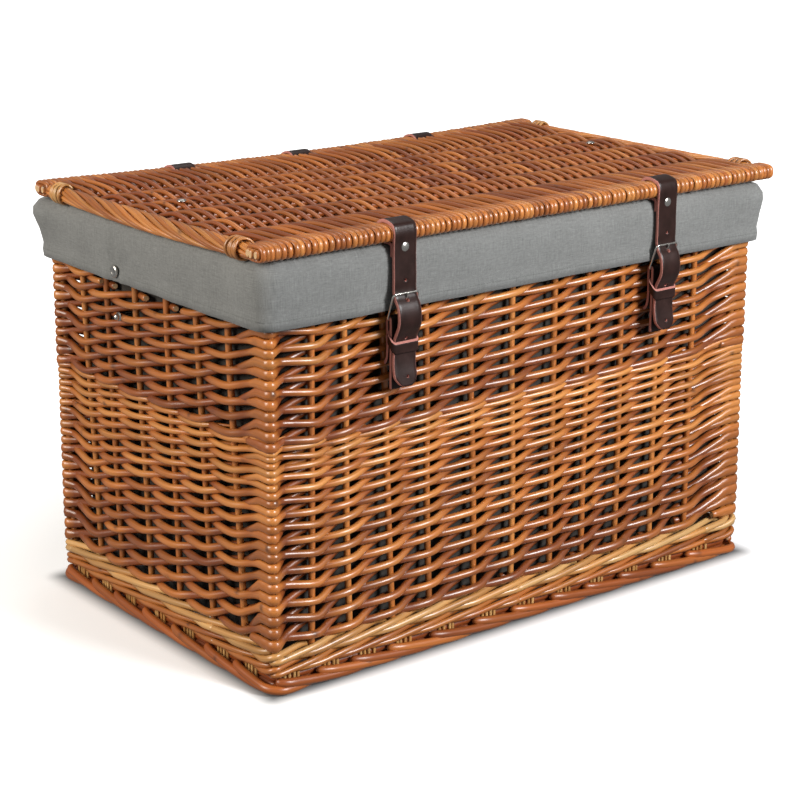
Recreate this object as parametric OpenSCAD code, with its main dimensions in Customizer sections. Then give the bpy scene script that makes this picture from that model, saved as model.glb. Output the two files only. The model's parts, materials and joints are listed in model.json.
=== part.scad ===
// Lidded rectangular wicker hamper with a cloth liner, two buckled leather
// straps, leather hinges and folding lid stays. Millimetres, +Z up.
// The origin is on the ground under the middle of the body, the front is -Y.

/* [Body] */
// Length of the woven body
body_l = 600; // [540:10:700]
// Depth of the woven body
body_d = 377; // [340:1:420]
// Height of the rim border's top
rim_z = 398; // [380:1:460]
// Thickness of the woven walls
wall_t = 14; // [13:1:15]
// Diameter of a wall stake
stake_d = 6; // [5:0.5:7]
// Diameter of a corner post
post_d = 9; // [7:0.5:9]

/* [Borders] */
// Height of the foot border
foot_h = 17; // [14:1:20]
// Radial thickness of the foot border
foot_t = 20; // [17:1:22]
// Height of the brown wale
brown_wale_h = 12; // [10:1:13]
// Height of the pale wale
pale_wale_h = 14; // [10:1:15]
// Height of the rim border
rim_h = 24; // [18:1:26]

/* [Hand holes] */
// Width of each hand hole
hole_w = 140; // [110:2:150]
// Place of the hand hole's centre along Y
hole_y = 22; // [-10:1:22]
// Height of the hand hole's lower edge
hole_z = 335; // [325:1:345]

/* [Liner] */
// Thickness of the cloth
liner_t = 2; // [1:0.5:2]
// Height of the hem of the turned-over skirt
hem_z = 341; // [325:1:350]

/* [Lid] */
// Length of the lid over its rails
lid_l = 632; // [620:1:650]
// Thickness of the lid
lid_t = 14; // [12:1:16]
// Depth of each rail
rail_w = 20; // [16:1:20]
// How far the lid's front edge reaches past the body
lid_front = 12.5; // [12:0.5:16]
// Diameter of a lid stick
lid_stick_d = 8; // [6:0.5:8]
// Number of lid sticks between the rails
lid_sticks_n = 6; // [6:1:7]

/* [Straps] */
// Width of the straps, hinges and buckle straps
strap_w = 25; // [20:1:26]
// Thickness of the leather
leather_t = 2.5; // [2:0.1:2.5]
// Distance of each strap from the middle
strap_x = 162; // [158:1:164]
// Height of the buckle's top bar
buckle_z = 357; // [352:1:360]
// Height of the lid strap's tip
tail_z = 272; // [265:1:276]
// Diameter of the buckle wire
wire_d = 2.2; // [2:0.1:2.4]

/* [Stays] */
// Rivet to rivet length of each half of a lid stay
stay_half = 156; // [156:0.5:158]
// Width of a lid stay
stay_w = 18; // [14:1:20]
// Thickness of a lid stay
stay_t = 2.3; // [2:0.1:2.3]

/* [Hidden] */
$fn = 48;

gap = 0.3;
bore_gap = 0.1;
cut = 1;
hx = body_l / 2;
hy = body_d / 2;
corner_r = 18;

// Levels of the rounds that stack up to make the wall
brown_z = foot_h;
pale_z = brown_z + brown_wale_h;
wall_z = pale_z + pale_wale_h;
rim_low_z = rim_z - rim_h;
rim_out = 3.5;
rim_in = 1;
wale_out = 1.5;
foot_out = 2;

// Base
base_z = 11;
base_t = 14;
base_stick_d = 9;
base_sticks_n = 5;
base_stick_pitch = 66;

// Stakes and posts. Hand work sets the stakes at slightly uneven places along each wall
front_stake_xs = [-250, -212, -166, -119, -65, -15, 37, 80, 126, 175, 226];
back_stake_xs = [for (i = [-5 : 5]) 48 * i];
left_stake_ys = [-125, -73, -20, 34, 88, 131];
right_stake_ys = [-129, -78, -24, 30, 84, 132];
post_x = hx - wall_t / 2 - 1;
post_pitch = post_d + 1.5;
wall_mid_x = hx - wall_t / 2;
wall_mid_y = hy - wall_t / 2;

// Liner
bag_x = hx - wall_t - gap - rim_in;
bag_y = hy - wall_t - gap - rim_in;
liner_top = rim_z + gap + liner_t;
skirt_out = rim_out + 2 * gap + leather_t + liner_t;
skirt_x = hx + skirt_out;
skirt_y = hy + skirt_out;
bag_floor_z = base_z + base_t + gap;
stud_y = 49;
stud_z = 351;

// Lid
lid_z = liner_top + 3.2;
lid_top = lid_z + lid_t;
lid_mid_z = lid_z + lid_t / 2;
rail_front_y = -hy - lid_front;
rail_back_y = hy - 3.5;
weave_front_y = rail_front_y + rail_w + 0.2;
weave_back_y = rail_back_y - rail_w - 0.2;
weave_x = lid_l / 2 - 18.5;
plait_in = weave_x + 2.5;
plait_out = lid_l / 2 - 1.5;
plait_mid = (plait_in + plait_out) / 2;
binding_t = 2;
binding_w = 14;
binding_inset = 20;

// Hinges: the crease of the leather is the axis of the lid
hinge_xs = [-155, -10, 155];
crease_y = hy + 0.5;
crease_z = lid_z - gap - leather_t / 2;
crease_r = 1.6;
hinge_tail_y = hy + rim_out + gap;
hinge_tail_z = 350;
hinge_rivet_z = 384;

// Straps and buckles
loop_y = rail_front_y - gap;
strap_out = loop_y - leather_t;
strap_in = loop_y + 0.3;
strap_rivet_z = lid_z - 5;
tab_low_z = strap_rivet_z - 9;
heel_y = strap_in + 5;
heel_z = buckle_z - 25;
bar_y = strap_out - wire_d / 2 - 0.5;
frame_w = strap_w + 0.8;
frame_tilt = atan2(heel_y - bar_y, buckle_z - heel_z);
frame_len = norm([heel_y - bar_y, buckle_z - heel_z]);
prong_tilt = frame_tilt + asin((wire_d + 0.3) / frame_len);
prong_len = 29;
prong_slot_z = heel_z + (heel_y - (strap_out + strap_in) / 2) / tan(prong_tilt);
prong_slot_h = 13;
hole_d = 3;
hole_pitch = 17.5;
heel_loop_in = wire_d / 2 + 0.2;
heel_loop_out = heel_loop_in + leather_t;
chape_tail_z = tail_z - 3;
chape_turn_z = 290;
chape_slot_low = heel_z - 9;
keeper_z = 309;
keeper_h = 9;
keeper_t = 2;
chape_rivet_z = 300;
// A narrow tongue of the buckle strap goes between two stakes, on the side nearer the middle
tongue_x = strap_x - 7;
tongue_w = 10;
prong_boss_d = wire_d + 2.8;
swing_z = tab_low_z - 3.5;

// Lid stays
stay_wall = [58, 304];
stay_lid = [8, lid_z - 10];
stay_tab_x = hx - 26;
stay_tab_in = 248;
stay_upper_x = stay_tab_x + 0.6 + stay_t;
stay_lower_x = stay_upper_x + 0.6 + stay_t;
lid_rivet_x = 258;
stay_chord = norm(stay_lid - stay_wall);
stay_lean = atan2(stay_lid[1] - stay_wall[1], stay_lid[0] - stay_wall[0]);
stay_fold = acos(stay_chord / 2 / stay_half);
stay_lower_angle = stay_lean + stay_fold;
stay_upper_angle = stay_lean + 180 - stay_fold;
rivet_d = 4;
rivet_head_d = 9;

willow = [0.72, 0.42, 0.2];
willow_dark = [0.55, 0.28, 0.13];
willow_pale = [0.85, 0.66, 0.38];
leather = [0.2, 0.11, 0.08];
metal = [0.75, 0.74, 0.72];
cloth = [0.5, 0.52, 0.5];

// A block between two opposite corners
module block(low, high) {
    translate(low) cube(high - low);
}

// A rectangle with true arcs at its corners, centred on the origin
module round_rect(l, d, r) {
    square([l - 2 * r, d], center = true);
    square([l, d - 2 * r], center = true);
    for (x = [-1, 1], y = [-1, 1])
        translate([x * (l / 2 - r), y * (d / 2 - r)]) circle(r);
}

// A closed round of border or wale, flush with the wall or standing proud
module ring(z, h, out, inner) {
    translate([0, 0, z]) linear_extrude(h) difference() {
        round_rect(body_l + 2 * out, body_d + 2 * out, corner_r + out);
        round_rect(body_l - 2 * inner, body_d - 2 * inner, max(corner_r - inner, 4));
    }
}

// A rod along X, Y or Z from its middle
module rod_x(p, l, d) {
    translate(p) rotate([0, 90, 0]) cylinder(h = l, d = d, center = true);
}
module rod_y(p, l, d) {
    translate(p) rotate([90, 0, 0]) cylinder(h = l, d = d, center = true);
}

// A flat strip drawn in the YZ plane and as wide as the straps, about x
module strap_profile(x, w = strap_w) {
    translate([x - w / 2, 0, 0]) rotate([90, 0, 90]) linear_extrude(w) children();
}

// A square in the YZ plane between two corners
module patch(low, high) {
    translate(low) square(high - low);
}

// The row of stakes of a long wall at y, and of an end wall at x
module stakes_long(xs, y, d, z0 = foot_h, z1 = rim_z - 2) {
    for (x = xs) translate([x, y, z0]) cylinder(h = z1 - z0, d = d);
}
module stakes_end(ys, x, d, z0 = foot_h, z1 = rim_z - 2) {
    for (y = ys) translate([x, y, z0]) cylinder(h = z1 - z0, d = d);
}
module posts(d, z0 = foot_h, z1 = rim_z - 2) {
    for (x = [-1, 1], y = [-1, 1], i = [0, 1])
        translate([x * (post_x - i * post_pitch), y * wall_mid_y, z0]) cylinder(h = z1 - z0, d = d);
}
module all_uprights() {
    d = stake_d + 2 * bore_gap;
    stakes_long(front_stake_xs, -wall_mid_y, d, 0, rim_z + cut);
    stakes_long(back_stake_xs, wall_mid_y, d, 0, rim_z + cut);
    stakes_end(left_stake_ys, -wall_mid_x, d, 0, rim_z + cut);
    stakes_end(right_stake_ys, wall_mid_x, d, 0, rim_z + cut);
    posts(post_d + 2 * bore_gap, 0, rim_z + cut);
}

// ---- Basket body ----
module base_stick_rods(d) {
    for (i = [0 : base_sticks_n - 1])
        rod_x([0, (i - (base_sticks_n - 1) / 2) * base_stick_pitch, base_z + base_t / 2],
            body_l - 2 * foot_t - 4, d);
}
module base_sticks() {
    color(willow_dark) base_stick_rods(base_stick_d);
}
module base_weave() {
    color(willow) difference() {
        translate([0, 0, base_z]) linear_extrude(base_t)
            round_rect(body_l - 2 * foot_t - 2, body_d - 2 * foot_t - 2, 10);
        base_stick_rods(base_stick_d + 2 * bore_gap);
    }
}
module foot_border() {
    color(willow_dark) ring(0, foot_h, foot_out, foot_t);
}
module brown_wale() {
    color(willow_dark) difference() {
        ring(brown_z, brown_wale_h, wale_out, wall_t);
        all_uprights();
    }
}
module pale_wale() {
    color(willow_pale) difference() {
        ring(pale_z, pale_wale_h, wale_out, wall_t);
        all_uprights();
    }
}
module corner_posts() {
    color(willow) posts(post_d);
}
module front_stakes() {
    color(willow) stakes_long(front_stake_xs, -wall_mid_y, stake_d);
}
module back_stakes() {
    color(willow) stakes_long(back_stake_xs, wall_mid_y, stake_d);
}
module left_stakes() {
    color(willow) stakes_end(left_stake_ys, -wall_mid_x, stake_d);
}
module right_stakes() {
    color(willow) stakes_end(right_stake_ys, wall_mid_x, stake_d);
}

// A long wall takes in the two corners at its ends
module long_wall(side) {
    difference() {
        ring(wall_z, rim_low_z - wall_z, 0, wall_t);
        block([-hx - cut, side > 0 ? -hy - cut : -hy + wall_t + 6, wall_z - cut],
            [hx + cut, side > 0 ? hy - wall_t - 6 : hy + cut, rim_low_z + cut]);
        all_uprights();
    }
}
// The way of a buckle strap through the front wall, with a seat inside it
module chape_way(x) {
    w = tongue_w / 2 + 0.3;
    block([x - w, -hy - cut, chape_turn_z - 0.2],
        [x + w, -hy + wall_t + cut, chape_turn_z + leather_t + 0.2]);
    block([x - w, -hy + wall_t - leather_t - 0.2, chape_turn_z - 18],
        [x + w, -hy + wall_t + cut, chape_turn_z + leather_t + 0.2]);
}
module front_weave() {
    color(willow) difference() {
        long_wall(-1);
        for (s = [-1, 1]) chape_way(s * tongue_x);
    }
}
module back_weave() {
    color(willow) long_wall(1);
}
module end_wall(side) {
    color(willow) difference() {
        block([side > 0 ? hx - wall_t : -hx, -hy + wall_t + 6, wall_z],
            [side > 0 ? hx : -hx + wall_t, hy - wall_t - 6, rim_low_z]);
        block([side * hx - wall_t - cut, hole_y - hole_w / 2, hole_z],
            [side * hx + wall_t + cut, hole_y + hole_w / 2, rim_low_z + cut]);
        all_uprights();
        rod_x([side * wall_mid_x, stay_wall[0], stay_wall[1]], 2 * wall_t, rivet_d + 2 * bore_gap);
    }
}
module left_weave() {
    end_wall(-1);
}
module right_weave() {
    end_wall(1);
}
module rim_border() {
    color(willow_dark) difference() {
        ring(rim_low_z, rim_h, rim_out, wall_t + rim_in);
        all_uprights();
        for (x = hinge_xs) rod_y([x, hy, hinge_rivet_z], 60, rivet_d + 2 * bore_gap);
    }
}

// ---- Liner: a bag with its mouth turned over the rim ----
module liner() {
    color(cloth) difference() {
        union() {
            translate([0, 0, bag_floor_z]) linear_extrude(liner_top - bag_floor_z)
                round_rect(2 * bag_x, 2 * bag_y, 6);
            translate([0, 0, hem_z]) linear_extrude(liner_top - hem_z)
                round_rect(2 * skirt_x, 2 * skirt_y, corner_r + 4);
        }
        translate([0, 0, bag_floor_z + liner_t]) linear_extrude(liner_top)
            round_rect(2 * (bag_x - liner_t), 2 * (bag_y - liner_t), 5);
        translate([0, 0, hem_z - cut]) linear_extrude(rim_z + gap - hem_z + cut) difference() {
            round_rect(2 * (skirt_x - liner_t), 2 * (skirt_y - liner_t), corner_r + 2);
            round_rect(2 * bag_x, 2 * bag_y, 6);
        }
        for (x = hinge_xs) block([x - strap_w / 2 - 0.5, hy - 8, rim_z],
            [x + strap_w / 2 + 0.5, skirt_y - liner_t - 0.1, liner_top + cut]);
        for (s = [-1, 1]) {
            rod_x([s * hx, stay_wall[0], stay_wall[1]], 60, rivet_d + 2 * bore_gap);
            rod_x([s * skirt_x, stud_y, stud_z], 3 * liner_t, rivet_d + 2 * bore_gap);
        }
    }
}
module liner_stud(side) {
    color(metal) {
        rod_x([side * (skirt_x + 0.35), stud_y, stud_z], liner_t + 1.3, rivet_d);
        rod_x([side * (skirt_x + 1.1), stud_y, stud_z], 1.8, 11);
    }
}
module liner_stud_left() {
    liner_stud(-1);
}
module liner_stud_right() {
    liner_stud(1);
}

// ---- Hinges: leather round the back rail, through the liner, down the rim ----
module hinge(x) {
    bottom = crease_z - leather_t / 2;
    color(leather) {
        difference() {
            strap_profile(x) {
                difference() {
                    patch([rail_back_y - rail_w - gap - leather_t, bottom],
                        [rail_back_y + gap + leather_t, lid_top + gap + leather_t]);
                    patch([rail_back_y - rail_w - gap, lid_z - gap], [rail_back_y + gap, lid_top + gap]);
                }
                patch([rail_back_y, bottom], [hinge_tail_y + leather_t, crease_z + leather_t / 2]);
                patch([hinge_tail_y, hinge_tail_z], [hinge_tail_y + leather_t, crease_z]);
            }
            rod_y([x, hinge_tail_y, hinge_rivet_z], 12, rivet_d + 2 * bore_gap);
        }
        rod_x([x, crease_y, crease_z], strap_w, 2 * crease_r);
    }
}
module hinge_left() {
    hinge(hinge_xs[0]);
}
module hinge_middle() {
    hinge(hinge_xs[1]);
}
module hinge_right() {
    hinge(hinge_xs[2]);
}
module hinge_rivets() {
    y0 = hy - wall_t - rim_in;
    y1 = hinge_tail_y + leather_t;
    color(metal) for (x = hinge_xs) rod_y([x, (y0 + y1) / 2, hinge_rivet_z], y1 - y0, rivet_d);
}

// ---- Buckle straps, keepers and lid straps ----
module buckle_strap(side) {
    x = side * strap_x;
    color(leather) strap_profile(side * tongue_x, tongue_w) {
        patch([-hy - 1, chape_turn_z], [-hy + wall_t, chape_turn_z + leather_t]);
        patch([-hy + wall_t - leather_t, chape_turn_z - 16],
            [-hy + wall_t, chape_turn_z + leather_t]);
    }
    color(leather) difference() {
        strap_profile(x) {
            difference() {
                union() {
                    translate([heel_y, heel_z]) circle(heel_loop_out);
                    patch([heel_y - heel_loop_out, chape_tail_z],
                        [heel_y - heel_loop_in, heel_z]);
                    patch([heel_y + heel_loop_in, chape_turn_z], [heel_y + heel_loop_out, heel_z]);
                    patch([heel_y + heel_loop_in, chape_turn_z],
                        [-hy - 0.6, chape_turn_z + leather_t]);
                }
                translate([heel_y, heel_z]) circle(heel_loop_in);
                patch([heel_y - heel_loop_in, chape_turn_z + leather_t + 4],
                    [heel_y + heel_loop_in, heel_z]);
            }
        }
        block([x - 2.3, heel_y - heel_loop_out - cut, chape_slot_low],
            [x + 2.3, heel_y + heel_loop_in, heel_z + heel_loop_out + cut]);
        rod_x([x, heel_y, heel_z], 4.6, prong_boss_d + 0.6);
        rod_y([x, heel_y, chape_rivet_z], 20, rivet_d + 2 * bore_gap);
    }
}
module buckle_strap_left() {
    buckle_strap(-1);
}
module buckle_strap_right() {
    buckle_strap(1);
}
module buckle_strap_rivets() {
    low = heel_y - heel_loop_out;
    color(metal) for (s = [-1, 1]) {
        rod_y([s * strap_x, heel_y, chape_rivet_z], 2 * heel_loop_out, rivet_d);
        rod_y([s * strap_x, low - 0.25, chape_rivet_z], 0.5, 7);
    }
}
module keeper(x) {
    y0 = strap_out - gap - keeper_t;
    y1 = heel_y - heel_loop_in + gap + keeper_t;
    color(leather) translate([x, (y0 + y1) / 2, keeper_z]) linear_extrude(keeper_h) difference() {
        round_rect(strap_w + 2 * keeper_t + 0.8, y1 - y0, 2);
        square([strap_w + 0.8, y1 - y0 - 2 * keeper_t], center = true);
    }
}
module keeper_left() {
    keeper(-strap_x);
}
module keeper_right() {
    keeper(strap_x);
}

// The loop round the lid's front rail and the long tail that the buckle grips, with the
// crease bead that the tail swings on
module lid_strap(x) {
    color(leather) difference() {
        strap_profile(x) {
            difference() {
                patch([strap_out, lid_z - gap - leather_t],
                    [rail_front_y + rail_w + gap + leather_t, lid_top + gap + leather_t]);
                patch([loop_y, lid_z - gap], [rail_front_y + rail_w + gap, lid_top + gap]);
            }
            patch([strap_out, tail_z + 12], [strap_in - 0.3, lid_top]);
            patch([strap_in - 0.1, tab_low_z], [strap_in + leather_t - 0.1, lid_z - gap]);
        }
        rod_y([x, strap_out, strap_rivet_z], 30, rivet_d + 2 * bore_gap);
        for (i = [-3 : -1]) rod_y([x, strap_out, prong_slot_z + i * hole_pitch], 8, hole_d);
        rod_y([x, strap_out, prong_slot_z + hole_pitch], 8, hole_d);
        block([x - 2, strap_out - cut, prong_slot_z - prong_slot_h / 2],
            [x + 2, strap_in + cut, prong_slot_z + prong_slot_h / 2]);
    }
    color(leather) rod_x([x, strap_out + leather_t / 2, swing_z], strap_w, 2 * crease_r);
    color(leather) translate([x, strap_in - 0.3, 0]) rotate([90, 0, 0])
        linear_extrude(leather_t) polygon([[-strap_w / 2, tail_z + 12], [strap_w / 2, tail_z + 12],
            [strap_w / 2, tail_z + 8], [6, tail_z], [-6, tail_z], [-strap_w / 2, tail_z + 8]]);
}
module lid_strap_left() {
    lid_strap(-strap_x);
}
module lid_strap_right() {
    lid_strap(strap_x);
}
module strap_rivet(x) {
    color(metal) {
        rod_y([x, (strap_out + strap_in + leather_t) / 2 - 0.3, strap_rivet_z], 2 * leather_t, rivet_d);
        rod_y([x, strap_out - 0.7, strap_rivet_z], 1.4, rivet_head_d);
    }
}
module strap_rivet_left() {
    strap_rivet(-strap_x);
}
module strap_rivet_right() {
    strap_rivet(strap_x);
}

// ---- Buckle frame and prong, both turning on the heel bar ----
module buckle(x) {
    color(metal) translate([x, heel_y, heel_z]) rotate([frame_tilt, 0, 0]) {
        for (z = [0, frame_len]) {
            rod_x([0, 0, z], frame_w + wire_d, wire_d);
            for (s = [-1, 1]) translate([s * (frame_w + wire_d) / 2, 0, z]) sphere(d = wire_d);
        }
        for (s = [-1, 1]) translate([s * (frame_w + wire_d) / 2, 0, 0]) cylinder(h = frame_len, d = wire_d);
    }
}
module buckle_left() {
    buckle(-strap_x);
}
module buckle_right() {
    buckle(strap_x);
}
module prong(x) {
    color(metal) translate([x, heel_y, heel_z]) difference() {
        union() {
            rod_x([0, 0, 0], 3, prong_boss_d);
            rotate([prong_tilt, 0, 0]) {
                cylinder(h = prong_len, d = wire_d);
                translate([0, 0, prong_len]) sphere(d = wire_d);
            }
        }
        rod_x([0, 0, 0], 6, wire_d + 2 * bore_gap);
    }
}
module prong_left() {
    prong(-strap_x);
}
module prong_right() {
    prong(strap_x);
}

// ---- Lid ----
module rail(y) {
    translate([0, y, lid_mid_z]) rotate([90, 0, 90])
        linear_extrude(lid_l, center = true) round_rect(rail_w, lid_t, 5);
}
module lid_front_rail() {
    color(willow) rail(rail_front_y + rail_w / 2);
}
module lid_back_rail() {
    color(willow) rail(rail_back_y - rail_w / 2);
}
module lid_stick_rods(d) {
    step = (rail_back_y - rail_front_y - rail_w) / (lid_sticks_n + 1);
    for (i = [1 : lid_sticks_n])
        rod_x([0, rail_front_y + rail_w / 2 + i * step, lid_mid_z], lid_l - 6, d);
}
module lid_sticks() {
    color(willow_dark) lid_stick_rods(lid_stick_d);
}
module lid_weave() {
    w = strap_w / 2 + 0.4;
    color(willow) difference() {
        block([-weave_x, weave_front_y, lid_z], [weave_x, weave_back_y, lid_top]);
        lid_stick_rods(lid_stick_d + 2 * bore_gap);
        for (s = [-1, 1]) {
            block([s * strap_x - w, weave_front_y - cut, lid_z - cut],
                [s * strap_x + w, rail_front_y + rail_w + 2 * gap + leather_t, lid_top + cut]);
            translate([s * lid_rivet_x, stay_lid[0], lid_z - cut])
                cylinder(h = lid_t + 2 * cut, d = rivet_d + 2 * bore_gap);
        }
        for (x = hinge_xs)
            block([x - w, rail_back_y - rail_w - 2 * gap - leather_t, lid_z - cut],
                [x + w, weave_back_y + cut, lid_top + cut]);
    }
}
module lid_plait(side) {
    color(willow) difference() {
        translate([side * plait_mid, (rail_front_y + rail_back_y) / 2, lid_mid_z]) rotate([90, 0, 0])
            linear_extrude(rail_back_y - rail_front_y - 2 * rail_w - 0.6, center = true)
                round_rect(plait_out - plait_in, lid_t - 1, 5);
        lid_stick_rods(lid_stick_d + 2 * bore_gap);
    }
}
module lid_plait_left() {
    lid_plait(-1);
}
module lid_plait_right() {
    lid_plait(1);
}
module lid_bindings() {
    y0 = rail_front_y + rail_w + binding_inset;
    y1 = rail_back_y - rail_w - binding_inset;
    color(willow_pale) for (s = [-1, 1], y = [y0, y1])
        translate([s * plait_mid, y, lid_mid_z]) rotate([90, 0, 0])
            linear_extrude(binding_w, center = true) difference() {
                round_rect(plait_out - plait_in + 2 * binding_t + 0.4, lid_t - 0.6 + 2 * binding_t, 6);
                round_rect(plait_out - plait_in + 0.4, lid_t - 0.6, 5);
            }
}

// ---- Lid stays: a tab under the lid, two strips and their rivets ----
module stay_tab(side) {
    x1 = stay_tab_x + stay_t;
    color(leather) difference() {
        union() {
            block([min(side * stay_tab_in, side * x1), stay_lid[0] - stay_w / 2, lid_z - gap - stay_t],
                [max(side * stay_tab_in, side * x1), stay_lid[0] + stay_w / 2, lid_z - gap]);
            block([min(side * stay_tab_x, side * x1), stay_lid[0] - stay_w / 2, stay_lid[1]],
                [max(side * stay_tab_x, side * x1), stay_lid[0] + stay_w / 2, lid_z - gap]);
            rod_x([side * (stay_tab_x + stay_t / 2), stay_lid[0], stay_lid[1]], stay_t, stay_w);
        }
        translate([side * lid_rivet_x, stay_lid[0], lid_z - 10])
            cylinder(h = 20, d = rivet_d + 2 * bore_gap);
        rod_x([side * stay_tab_x, stay_lid[0], stay_lid[1]], 12, rivet_d + 2 * bore_gap);
    }
}
module stay_tab_left() {
    stay_tab(-1);
}
module stay_tab_right() {
    stay_tab(1);
}
// A strip from one rivet to the other, along an angle in the YZ plane
module stay_strip(side, x, p, angle) {
    color(leather) translate([side * (x + stay_t / 2), p[0], p[1]]) rotate([angle, 0, 0])
        rotate([0, 90, 0]) difference() {
            union() {
                cylinder(h = stay_t, d = stay_w, center = true);
                translate([0, stay_half, 0]) cylinder(h = stay_t, d = stay_w, center = true);
                translate([-stay_w / 2, 0, -stay_t / 2]) cube([stay_w, stay_half, stay_t]);
            }
            cylinder(h = 2 * stay_t, d = rivet_d + 2 * bore_gap, center = true);
        }
}
module stay_upper_left() {
    stay_strip(-1, stay_upper_x, stay_lid, stay_upper_angle);
}
module stay_upper_right() {
    stay_strip(1, stay_upper_x, stay_lid, stay_upper_angle);
}
module stay_lower_left() {
    stay_strip(-1, stay_lower_x, stay_wall, stay_lower_angle);
}
module stay_lower_right() {
    stay_strip(1, stay_lower_x, stay_wall, stay_lower_angle);
}
module stay_lid_rivets() {
    color(metal) for (s = [-1, 1]) {
        translate([s * lid_rivet_x, stay_lid[0], lid_z - gap - stay_t])
            cylinder(h = lid_t + stay_t + gap, d = rivet_d);
        translate([s * lid_rivet_x, stay_lid[0], lid_top]) cylinder(h = 1.8, d = rivet_head_d);
        translate([s * lid_rivet_x, stay_lid[0], lid_z - gap - stay_t - 1.2])
            cylinder(h = 1.2, d = rivet_head_d);
        rod_x([s * (stay_tab_x + stay_t), stay_lid[0], stay_lid[1]], 2 * stay_t + 0.6, rivet_d);
        rod_x([s * (stay_tab_x - 0.6), stay_lid[0], stay_lid[1]], 1.2, rivet_head_d);
    }
}
module stay_wall_rivets() {
    x0 = stay_lower_x;
    color(metal) for (s = [-1, 1]) {
        rod_x([s * (x0 + hx + 1) / 2, stay_wall[0], stay_wall[1]], hx + 1 - x0, rivet_d);
        rod_x([s * (hx + 1.5), stay_wall[0], stay_wall[1]], 3, rivet_head_d);
        translate([s * (hx + 3), stay_wall[0], stay_wall[1]]) sphere(d = 6);
    }
}

base_sticks();
base_weave();
foot_border();
brown_wale();
pale_wale();
corner_posts();
front_stakes();
back_stakes();
left_stakes();
right_stakes();
front_weave();
back_weave();
left_weave();
right_weave();
rim_border();
liner();
liner_stud_left();
liner_stud_right();
hinge_left();
hinge_middle();
hinge_right();
hinge_rivets();
buckle_strap_left();
buckle_strap_right();
buckle_strap_rivets();
keeper_left();
keeper_right();
stay_wall_rivets();
lid_front_rail();
lid_back_rail();
lid_sticks();
lid_weave();
lid_plait_left();
lid_plait_right();
lid_bindings();
stay_tab_left();
stay_tab_right();
stay_lid_rivets();
lid_strap_left();
lid_strap_right();
strap_rivet_left();
strap_rivet_right();
buckle_left();
buckle_right();
prong_left();
prong_right();
stay_upper_left();
stay_upper_right();
stay_lower_left();
stay_lower_right();
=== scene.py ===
"""A wicker hamper with a cloth liner, leather straps and hinges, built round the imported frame."""

import json
import math

import bmesh
import bpy
import numpy as np
from mathutils import Matrix, Vector


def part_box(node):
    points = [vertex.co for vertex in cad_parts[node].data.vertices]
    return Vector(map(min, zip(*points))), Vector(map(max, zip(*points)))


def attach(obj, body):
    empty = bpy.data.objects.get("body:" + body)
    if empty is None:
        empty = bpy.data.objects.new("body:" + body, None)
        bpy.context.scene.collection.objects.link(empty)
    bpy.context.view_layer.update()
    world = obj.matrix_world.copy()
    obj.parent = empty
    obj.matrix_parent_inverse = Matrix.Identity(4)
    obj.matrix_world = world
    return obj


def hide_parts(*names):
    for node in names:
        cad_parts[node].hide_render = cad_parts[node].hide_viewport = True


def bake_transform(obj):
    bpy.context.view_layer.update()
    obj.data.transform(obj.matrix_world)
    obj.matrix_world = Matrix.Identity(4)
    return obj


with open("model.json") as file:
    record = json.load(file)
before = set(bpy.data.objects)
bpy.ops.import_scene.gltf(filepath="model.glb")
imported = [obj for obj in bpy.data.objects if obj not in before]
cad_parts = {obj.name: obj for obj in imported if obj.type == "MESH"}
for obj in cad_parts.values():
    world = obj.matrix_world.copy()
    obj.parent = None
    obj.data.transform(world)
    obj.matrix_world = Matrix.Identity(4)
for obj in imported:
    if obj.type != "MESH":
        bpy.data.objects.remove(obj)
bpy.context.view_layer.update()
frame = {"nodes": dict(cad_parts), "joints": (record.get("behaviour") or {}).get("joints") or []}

MM = 0.001
RNG = np.random.default_rng(20)

# ---------------------------------------------------------------- sizes from the frame
WALL_LO, WALL_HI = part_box("front_weave")
HX = WALL_HI.x
HY = -WALL_LO.y
RIM_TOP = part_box("rim_border")[1].z
RIM_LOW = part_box("rim_border")[0].z
STAKE_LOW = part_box("corner_posts")[0].z
STAKE_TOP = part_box("corner_posts")[1].z
LINER_LO, LINER_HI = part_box("liner")
LID_LO, LID_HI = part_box("lid_front_rail")
LID_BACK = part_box("lid_back_rail")
LID_Z = (LID_LO.z + LID_HI.z) / 2
STRAP_X = (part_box("lid_strap_right")[0].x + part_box("lid_strap_right")[1].x) / 2
STRAP_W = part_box("lid_strap_right")[1].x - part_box("lid_strap_right")[0].x
HINGE_NAMES = ("left", "middle", "right")
HINGE_XS = [(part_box("hinge_" + n)[0].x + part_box("hinge_" + n)[1].x) / 2 for n in HINGE_NAMES]
BUCKLE_LO, BUCKLE_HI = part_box("buckle_right")
LEATHER = 2.5 * MM

# Places of the stakes, as in the CAD part, and the depth of their centres in the wall
FRONT_XS = [x * MM for x in (-250, -212, -166, -119, -65, -15, 37, 80, 126, 175, 226)]
BACK_XS = [48 * MM * i for i in range(-5, 6)]
LEFT_YS = [y * MM for y in (-125, -73, -20, 34, 88, 131)]
RIGHT_YS = [y * MM for y in (-129, -78, -24, 30, 84, 132)]
# How far the top of each front or left stake stands from over its foot
FRONT_LEANS = [x * MM for x in (5, -5, -14, -7, -10, -5, 0, 1, 0, -1, 0)]
LEFT_LEANS = [y * MM for y in (22, 21, 12, 16, 13, 18)]
STAKE_R = 3.25 * MM
POST_R = 3.6 * MM
POST_INSET = 8 * MM
POST_BEFORE = 17 * MM
STAKE_DEPTH = 7 * MM
CORNER_R = 8 * MM

HOLE_LO_Y, HOLE_HI_Y, HOLE_Z = -48 * MM, 92 * MM, 335 * MM


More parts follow.
